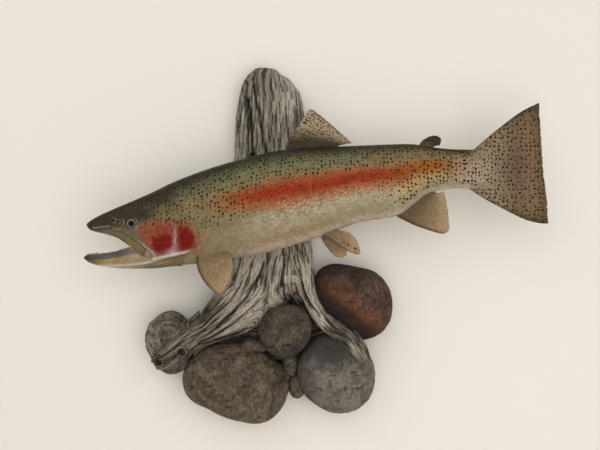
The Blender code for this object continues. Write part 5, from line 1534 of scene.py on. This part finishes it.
def wood_painted_shade_and_dark(points):
    """Darkening, from 0 to 1: painted shade deep in the crotch, and near the wall behind the stones and along
    the lower edges; darker random patches, a darker upper trunk, a darker left root and a darker end of the
    right root.
    """
    x, y, z = points[:, 0], points[:, 1], points[:, 2]
    # painted shade: low down near the wall, behind the stones, and in the crotch
    deep = smooth(-0.054, -0.042, y) * smooth(-0.285, -0.315, z)
    crotch = bell(oval(x, z, (0.039, -0.320), (0.019, 0.032)))
    patches = 0.26 * smooth(0.05, 0.50, rough(points * (1, 1, 0.40), 0.026, 61, 2))
    patches = patches + 0.24 * smooth(-0.10, -0.05, z) * smooth(0.032, 0.004, x)
    root = 0.46 * smooth(-0.020, -0.100, x) * smooth(-0.270, -0.325, z)
    root = root + 0.26 * smooth(0.090, 0.130, x)
    return np.clip(np.maximum(np.maximum(deep, 0.95 * crotch), patches) + root, 0, 1)


def wood_finish(looks):
    """Grey weathered wood, darker in its grooves, in darker patches, and where shade is painted."""
    finish = Finish("driftwood_grey", 0.78, specular_ior_level=0.25)
    grain = finish.uv("GrainMap")
    thin = finish.noise(finish.stretched(grain, 900.0, 62.0, 1.0), 1.0, 4.0, 0.68)
    wide = finish.noise(finish.stretched(grain, 190.0, 17.0, 1.0), 1.0, 4.0, 0.65, 0.4)
    speck = finish.noise(finish.metres(), 420.0, 3.0)
    dark = finish.value("Groove")
    depth = finish.plus(finish.times(dark, 0.72), finish.between(thin, 0.49, 0.58, 0.0, 0.36))
    depth = finish.plus(depth, finish.between(wide, 0.52, 0.59, 0.0, 0.50))
    # painted shade and darker patches of the wood, weaker on its pale ridges
    painted_shade_and_darkening = finish.times(finish.value("PaintedShadeAndDark"), finish.between(wide, 0.38, 0.55, 0.30, 1.15))
    depth = finish.plus(depth, painted_shade_and_darkening)
    between = 0.45 * looks.wood_mid + 0.55 * looks.wood_dark
    base = finish.ramp(depth, (0.0, looks.wood_pale), (0.30, looks.wood_mid), (0.62, between),
                       (0.92, looks.wood_dark))
    base = finish.mixed(finish.between(speck, 0.4, 0.75, 0.0, 0.35), base, (0.42, 0.37, 0.30), "MULTIPLY")
    finish.bump(finish.plus(thin, finish.times(speck, 0.3)), 0.6, 0.0012)
    return finish.set(Base_Color=base)


WOOD_VOXEL = 0.0021
MOST_OUTSIDE = 0.004  # the relief never reaches further than this past the solid's box


class TROUT_OT_driftwood(bpy.types.Operator):
    """Make the weathered driftwood, with its grain, cracks and knots"""
    bl_idname = "trout.driftwood"
    bl_label = "Driftwood"

    def execute(self, context):
        looks = chosen(context.scene.trout_mount)
        points, faces, count = [], [], 0
        for stations in LIMBS.values():
            limb, limb_faces = limb_shell(stations)
            points.append(limb)
            faces += [[count + i for i in face] for face in limb_faces]
            count += len(limb)
        rough_out = make_piece("driftwood_block", np.concatenate(points), faces)
        remesh = rough_out.modifiers.new("one_piece", "REMESH")
        remesh.mode = "VOXEL"
        remesh.voxel_size = WOOD_VOXEL
        shape = rough_out.evaluated_get(context.evaluated_depsgraph_get()).to_mesh()
        places, normals = np.empty(len(shape.vertices) * 3), np.empty(len(shape.vertices) * 3)
        shape.vertices.foreach_get("co", places)
        shape.vertices.foreach_get("normal", normals)
        places, normals = places.reshape(-1, 3), normals.reshape(-1, 3)
        quads = [list(face.vertices) for face in shape.polygons]
        rough_out.to_mesh_clear()
        bpy.data.objects.remove(rough_out)
        height, dark, grain = driftwood_relief(places, normals, looks.grain_depth)
        places = places + normals * height[:, None]
        low, high = (np.array(corner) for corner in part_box("driftwood"))
        places = np.clip(places, low - MOST_OUTSIDE, high + MOST_OUTSIDE)
        places[:, 1] = np.minimum(places[:, 1], 0.0)
        piece = make_piece("weathered_driftwood", places, quads,
                           maps={"GrainMap": np.stack([grain[:, 0] * 0.06, grain[:, 1]], -1)},
                           values={"Groove": dark, "PaintedShadeAndDark": wood_painted_shade_and_dark(places)}, finish=wood_finish(looks))
        placed(piece, "wood", "driftwood")
        return {"FINISHED"}


def stone_form(centre, radii, half_depth, seed, around, rings):
    """Points of a river stone whose front outline passes through its eight radii."""
    loop = np.array(radii) / 1000
    turn = np.linspace(0, 2 * math.pi, around, endpoint=False)
    lean = np.linspace(0.0005, math.pi - 0.0005, rings)[:, None]
    flat, deep = np.sin(lean), -np.cos(lean) + 0 * turn
    step = turn / (math.pi / 4)
    i, u = step.astype(int), step - step.astype(int)
    a, b, c, e = (loop[(i + k) % 8] for k in (-1, 0, 1, 2))
    radius = 0.5 * (2 * b + (c - a) * u + (2 * a - 5 * b + 4 * c - e) * u**2 + (3 * b - a - 3 * c + e) * u**3)
    way = np.stack([flat * np.cos(turn), deep, flat * np.sin(turn)], -1)
    bumps = [noise.noise(Vector(d) * 1.6 + Vector((seed, 0, 0))) for d in way.reshape(-1, 3)]
    swell = 1 + 0.020 * np.array(bumps).reshape(way.shape[:2])
    reach = radius * swell * flat**0.85
    y = np.sign(deep) * np.abs(deep) ** 0.9 * half_depth * swell
    return np.array(centre) + np.stack([reach * np.cos(turn), y, reach * np.sin(turn)], -1), way


# (pit size, pit depth, grain, chips) of each stone's surface
STONE_WEAR = {"rock_round": (0.0035, 0.0006, 0.0005, 0.0012), "rock_brown": (0.0060, 0.0007, 0.0007, 0.0022),
              "rock_grey": (0.0070, 0.0010, 0.0006, 0.0020), "rock_red": (0.0060, 0.0006, 0.0004, 0.0018),
              "rock_left": (0.0050, 0.0007, 0.0006, 0.0018)}


def stone_finish(name, main, second, patch, seed):
    """Mottled stone of a main and a second tone, with a patch of another where one is given, darkened by its
    painted shade.
    """
    finish = Finish(name, 0.74, specular_ior_level=0.30)
    own_place = (seed * 0.37, seed * 0.11, 0.0)
    moved = finish.node("ShaderNodeVectorMath", {0: finish.metres(), 1: own_place}, operation="ADD")
    place = moved.outputs[0]
    broad = finish.noise(place, 30.0, 5.0, 0.62, 0.8)
    mottle = finish.noise(place, 140.0, 5.0, 0.72)
    lichen = finish.noise(finish.stretched(place, 1.0, 1.0, 0.7), 200.0, 4.0, 0.70, 0.4)
    grainy = finish.noise(place, 420.0, 4.0, 0.75)
    base = finish.ramp(broad, (0.36, 0.44 * main), (0.50, main), (0.62, 1.20 * second))
    if patch is not None:
        warm = finish.times(finish.value("Patch"), finish.between(mottle, 0.36, 0.60, 0.35, 1.0))
        base = finish.mixed(warm, base, patch)
    base = finish.mixed(finish.between(lichen, 0.50, 0.68, 0.0, 0.50), base, np.minimum(1, 2.1 * second))
    base = finish.mixed(finish.between(mottle, 0.50, 0.68, 0.0, 0.80), base, 0.26 * main)
    base = finish.mixed(finish.between(grainy, 0.50, 0.62, 0.0, 0.62), base, 0.30 * main)
    # darker where the stone's painted shade and darker parts lie
    base = finish.mixed(finish.times(finish.value("PaintedShadeAndDark"), 0.85), base, 0.16 * main)
    height = finish.plus(grainy, finish.times(mottle, 2.0))
    finish.bump(height, 0.8, 0.0022)
    return finish.set(Base_Color=base, Roughness=finish.between(grainy, 0.3, 0.7, 0.62, 0.85))


# hollows in a stone's front, which are painted dark as painted shade: (x, z, radii) from its middle
GOUGES = {"rock_grey": [(0.0260, 0.0137, 0.0075, 0.0022), (0.0125, -0.0140, 0.0022, 0.0050),
                        (0.0330, 0.0080, 0.0030, 0.0022),
                        (0.0417, -0.0110, 0.0030, 0.0028), (-0.0080, 0.0080, 0.0060, 0.0014),
                        (0.0060, 0.0250, 0.0014, 0.0080)],
          "rock_round": [(0.0040, -0.0190, 0.0100, 0.0030), (-0.0120, -0.0080, 0.0040, 0.0025),
                         (0.0160, -0.0260, 0.0040, 0.0020)],
          "rock_brown": [(-0.0100, -0.0300, 0.0060, 0.0016), (0.0250, -0.0100, 0.0040, 0.0022),
                         (-0.0400, 0.0060, 0.0050, 0.0020)],
          "rock_red": [(-0.0060, 0.0060, 0.0090, 0.0020), (0.0200, 0.0180, 0.0060, 0.0030)]}


GOUGE_DEPTH = 0.0022
RUST_LINE, RUST_WIDTH = [(-0.042, 0.040), (-0.012, 0.006), (0.030, -0.040)], 0.021


def stone_painted_shade_and_darkening(name, across, up, pits, chips):
    """Darkening of a stone, from 0 to 1: painted shade in its pits; on the grey stone a painted shadow of the
    driftwood over its top, and darker towards its left; on the red stone darker towards its top, and a
    painted shadow along its lower left by the root.
    """
    # painted shade in the pits
    painted_shade_and_dark = 0.7 * smooth(0.20, 0.8, pits * 2.2)
    # the grey stone: a painted shadow of the root over its top, and darker towards its left
    if name == "rock_grey":
        painted_shade_and_dark = np.maximum(painted_shade_and_dark, smooth(0.004, 0.044, up - 0.20 * np.abs(across + 0.010) + 0.016 * chips))
        painted_shade_and_dark = np.maximum(painted_shade_and_dark, 0.6 * smooth(-0.022, -0.056, across + 0.012 * chips))
    # the red stone: darker towards its top, and a painted shadow along its lower left by the root
    if name == "rock_red":
        painted_shade_and_dark = np.maximum(painted_shade_and_dark, 0.6 * smooth(0.006, 0.050, up - 0.15 * across + 0.020 * chips))
        painted_shade_and_dark = np.maximum(painted_shade_and_dark, smooth(0.006, -0.026, up + 0.75 * across + 0.010 * chips))
    return painted_shade_and_dark


class TROUT_OT_stones(bpy.types.Operator):
    """Make the river stones and pebbles, worn round and pitted"""
    bl_idname = "trout.stones"
    bl_label = "Stones"

    def execute(self, context):
        looks = chosen(context.scene.trout_mount)
        grey, brown, light = looks.stone_grey, looks.stone_brown, looks.stone_light
        # (main tone, second tone, patch, material slot) of each stone
        plain = (grey, brown, None, "stone_grey")
        styles = {"rock_round": (0.80 * grey, brown, None, "stone_grey"),
                  "rock_brown": (brown, looks.stone_ochre, None, "stone_brown"),
                  "rock_grey": (light, grey, None, "stone_grey"),
                  "rock_red": (looks.stone_red, brown, looks.rust, "stone_red"),
                  "rock_left": (1.15 * grey, light, None, "stone_grey"),
                  "pebble_upper": (grey, brown, None, "stone_brown")}
        for name, (centre, radii, half_depth, seed) in STONES.items():
            large = name.startswith("rock")
            around, rings = (150, 100) if large else (72, 48)
            points, way = stone_form(centre, radii, half_depth, seed, around, rings)
            size_of_pits, pit, grain, chip = STONE_WEAR.get(name, (0.004, 0.0004, 0.0004, 0.0010))
            local = points - np.array(centre)
            chips = rough(local, 0.030, seed, 3)
            pits = np.clip(rough(local, size_of_pits, seed + 50, 2) - 0.12, 0, 1)
            height = chip * chips - pit * 3.2 * pits + grain * rough(local, 0.0018, seed + 90, 2)
            hollow = np.zeros_like(height)
            ragged_x, ragged_z = local[..., 0] + 0.003 * chips, local[..., 2] + 0.002 * chips
            for gouge_x, gouge_z, wide, tall in GOUGES.get(name, ()):
                away = oval(ragged_x, ragged_z, (gouge_x, gouge_z), (wide, tall))
                hollow = np.maximum(hollow, smooth(1.2, 0.5, away) * (way[..., 1] < 0))
            height = height - GOUGE_DEPTH * hollow
            points = points + way / np.linalg.norm(way, axis=-1, keepdims=True) * height[..., None]
            points[..., 1] = np.minimum(points[..., 1], -WALL_CLEARANCE)
            across, up = local[..., 0], local[..., 2]
            patch = beside(across, up, RUST_LINE, RUST_WIDTH) * smooth(-0.7, 0.2, chips)
            # painted shade in the pits and hollows, with each stone's painted shadows and darker parts
            painted_shade_and_dark = np.maximum(stone_painted_shade_and_darkening(name, across, up, pits, chips), 0.9 * hollow)
            main, second, rust, slot = styles.get(name, plain)
            faces = grid_faces(rings, around, closed=True, turned=True)
            faces += [list(range(around)), list(range((rings - 1) * around, rings * around))[::-1]]
            piece = make_piece("worn_" + name, points, faces,
                               values={"Patch": patch, "PaintedShadeAndDark": np.clip(painted_shade_and_dark, 0, 1)},
                               finish=stone_finish("finish_" + name, main, second, rust, seed))
            placed(piece, slot, name)
        return {"FINISHED"}


class TROUT_OT_dowel(bpy.types.Operator):
    """Make the dowel that carries the trout in front of the driftwood"""
    bl_idname = "trout.dowel"
    bl_label = "Dowel"

    def execute(self, context):
        looks = chosen(context.scene.trout_mount)
        low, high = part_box("mount_peg")
        length = high.y - low.y
        radius = PEG["radius"]
        inner, bevel, margin = radius * 0.93, 0.0015, 0.004
        barrel = [(radius, level) for level in np.linspace(margin, length - margin, 12)]
        profile = [(0.0, 0), (inner, 0), (radius, bevel), *barrel, (radius, length - bevel), (inner, length),
                   (0.0, length)]
        form = turned_form(profile, 48)
        points = np.stack([PEG["x"] + form[..., 0], low.y + form[..., 2], PEG["z"] + form[..., 1]], -1)
        finish = Finish("dowel_wood", 0.6)
        rings = finish.noise(finish.stretched(finish.metres(), 500.0, 14.0, 500.0), 1.0, 4.0)
        finish.bump(rings, 0.3, 0.0008)
        tone = finish.mixed(finish.between(rings, 0.35, 0.7), looks.peg, 0.5 * looks.peg)
        piece = make_piece("turned_dowel", points,
                           grid_faces(len(profile), 48, closed=True, turned=True),
                           finish=finish.set(Base_Color=tone), sharp=40)
        placed(piece, "peg", "mount_peg")
        return {"FINISHED"}


# ---- stage ------------------------------------------------------------------------------------------------
def wall_finish(tone):
    """Plain paint that is clear from behind, so that the back of the mount can be looked at."""
    finish = Finish("plain_wall", 0.9, specular_ior_level=0.1)
    fine = finish.noise(finish.metres(), 140.0, 2.0)
    finish.bump(fine, 0.05, 0.001)
    finish.set(Base_Color=finish.mixed(finish.between(fine, 0.3, 0.7, 0.0, 0.02), tone, (0.5, 0.5, 0.5)))
    clear = finish.node("ShaderNodeBsdfTransparent")
    side = finish.node("ShaderNodeNewGeometry")
    shaders = {0: side.outputs["Backfacing"], 1: finish.shader.outputs[0], 2: clear.outputs[0]}
    either = finish.node("ShaderNodeMixShader", shaders)
    finish.tree.links.new(either.outputs[0], finish.tree.nodes["Material Output"].inputs["Surface"])
    return finish.material


LIGHTS_AIM = (0, 0, -0.2)


def area_light(name, power, width, place, tone):
    data = bpy.data.lights.new(name, "AREA")
    data.energy, data.size, data.color = power, width, tone
    lamp = bpy.data.objects.new(name, data)
    lamp.location = place
    lamp.rotation_euler = (Vector(LIGHTS_AIM) - Vector(place)).to_track_quat("-Z", "Y").to_euler()
    bpy.context.scene.collection.objects.link(lamp)


class TROUT_OT_stage(bpy.types.Operator):
    """Make the plain wall and floor, the soft lights and the camera"""
    bl_idname = "trout.stage"
    bl_label = "Stage"

    def execute(self, context):
        looks = chosen(context.scene.trout_stage)
        wide, floor, behind = 3.0, -1.6, 0.0015
        paint_of_wall = wall_finish(looks.wall)
        wall = make_piece("wall", [(-wide, behind, floor), (wide, behind, floor), (wide, behind, wide),
                                   (-wide, behind, wide)], [[0, 1, 2, 3]], finish=paint_of_wall)
        ground = make_piece("floor", [(-wide, -wide, floor), (wide, -wide, floor), (wide, wide, floor),
                                      (-wide, wide, floor)], [[0, 1, 2, 3]], finish=paint_of_wall)
        area_light("key_light", looks.key, 2.2, (0.6, -2.2, -0.3), (1.0, 0.985, 0.965))
        area_light("fill_light", looks.fill, 2.0, (-0.8, -2.0, 0.9), (1.0, 0.995, 0.99))
        area_light("back_light", looks.back, 1.6, (0.4, 2.2, 0.6), (1.0, 1.0, 1.0))
        world = bpy.data.worlds.new("soft_room")
        world.use_nodes = True
        sky = world.node_tree.nodes["Background"]
        sky.inputs["Color"].default_value = (1.0, 0.99, 0.975, 1)
        sky.inputs["Strength"].default_value = looks.ambient
        context.scene.world = world
        context.scene.view_settings.view_transform = "Standard"
        data = bpy.data.cameras.new("camera")
        data.lens, data.sensor_width = 50.0, 36.0
        camera = bpy.data.objects.new("camera", data)
        camera.location = (0.0565, -looks.distance, -0.172)
        camera.rotation_euler = (math.pi / 2, 0, 0)
        context.scene.collection.objects.link(camera)
        context.scene.camera = camera
        return {"FINISHED"}


# ---- panel and registration -------------------------------------------------------------------------------
OPERATORS = (TROUT_OT_stage, TROUT_OT_skin, TROUT_OT_scales, TROUT_OT_eyes, TROUT_OT_mouth, TROUT_OT_fins,
             TROUT_OT_driftwood, TROUT_OT_stones, TROUT_OT_dowel)
SETTINGS = {"trout_sizes": TroutSizes, "trout_colours": TroutColours, "trout_mount": MountLooks,
            "trout_stage": StageLooks}


class TROUT_PT_panel(bpy.types.Panel):
    """Lists the pieces of the mounted trout and their settings"""
    bl_idname = "TROUT_PT_panel"
    bl_label = "Mounted trout"
    bl_space_type = "VIEW_3D"
    bl_region_type = "UI"
    bl_category = "Trout"

    def draw(self, context):
        for operator in OPERATORS:
            self.layout.operator(operator.bl_idname)
        for name in SETTINGS:
            box = self.layout.box()
            group = getattr(context.scene, name)
            for key in setting_names(group):
                box.prop(group, key)


def register():
    for each in (*SETTINGS.values(), *OPERATORS, TROUT_PT_panel):
        bpy.utils.register_class(each)
    for name, group in SETTINGS.items():
        setattr(bpy.types.Scene, name, PointerProperty(type=group))


def unregister():
    for name in SETTINGS:
        delattr(bpy.types.Scene, name)
    for each in reversed((*SETTINGS.values(), *OPERATORS, TROUT_PT_panel)):
        bpy.utils.unregister_class(each)


def main():
    register()
    for operator in OPERATORS:
        group, name = operator.bl_idname.split(".")
        getattr(getattr(bpy.ops, group), name)()
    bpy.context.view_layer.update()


if __name__ == "__main__":
    main()
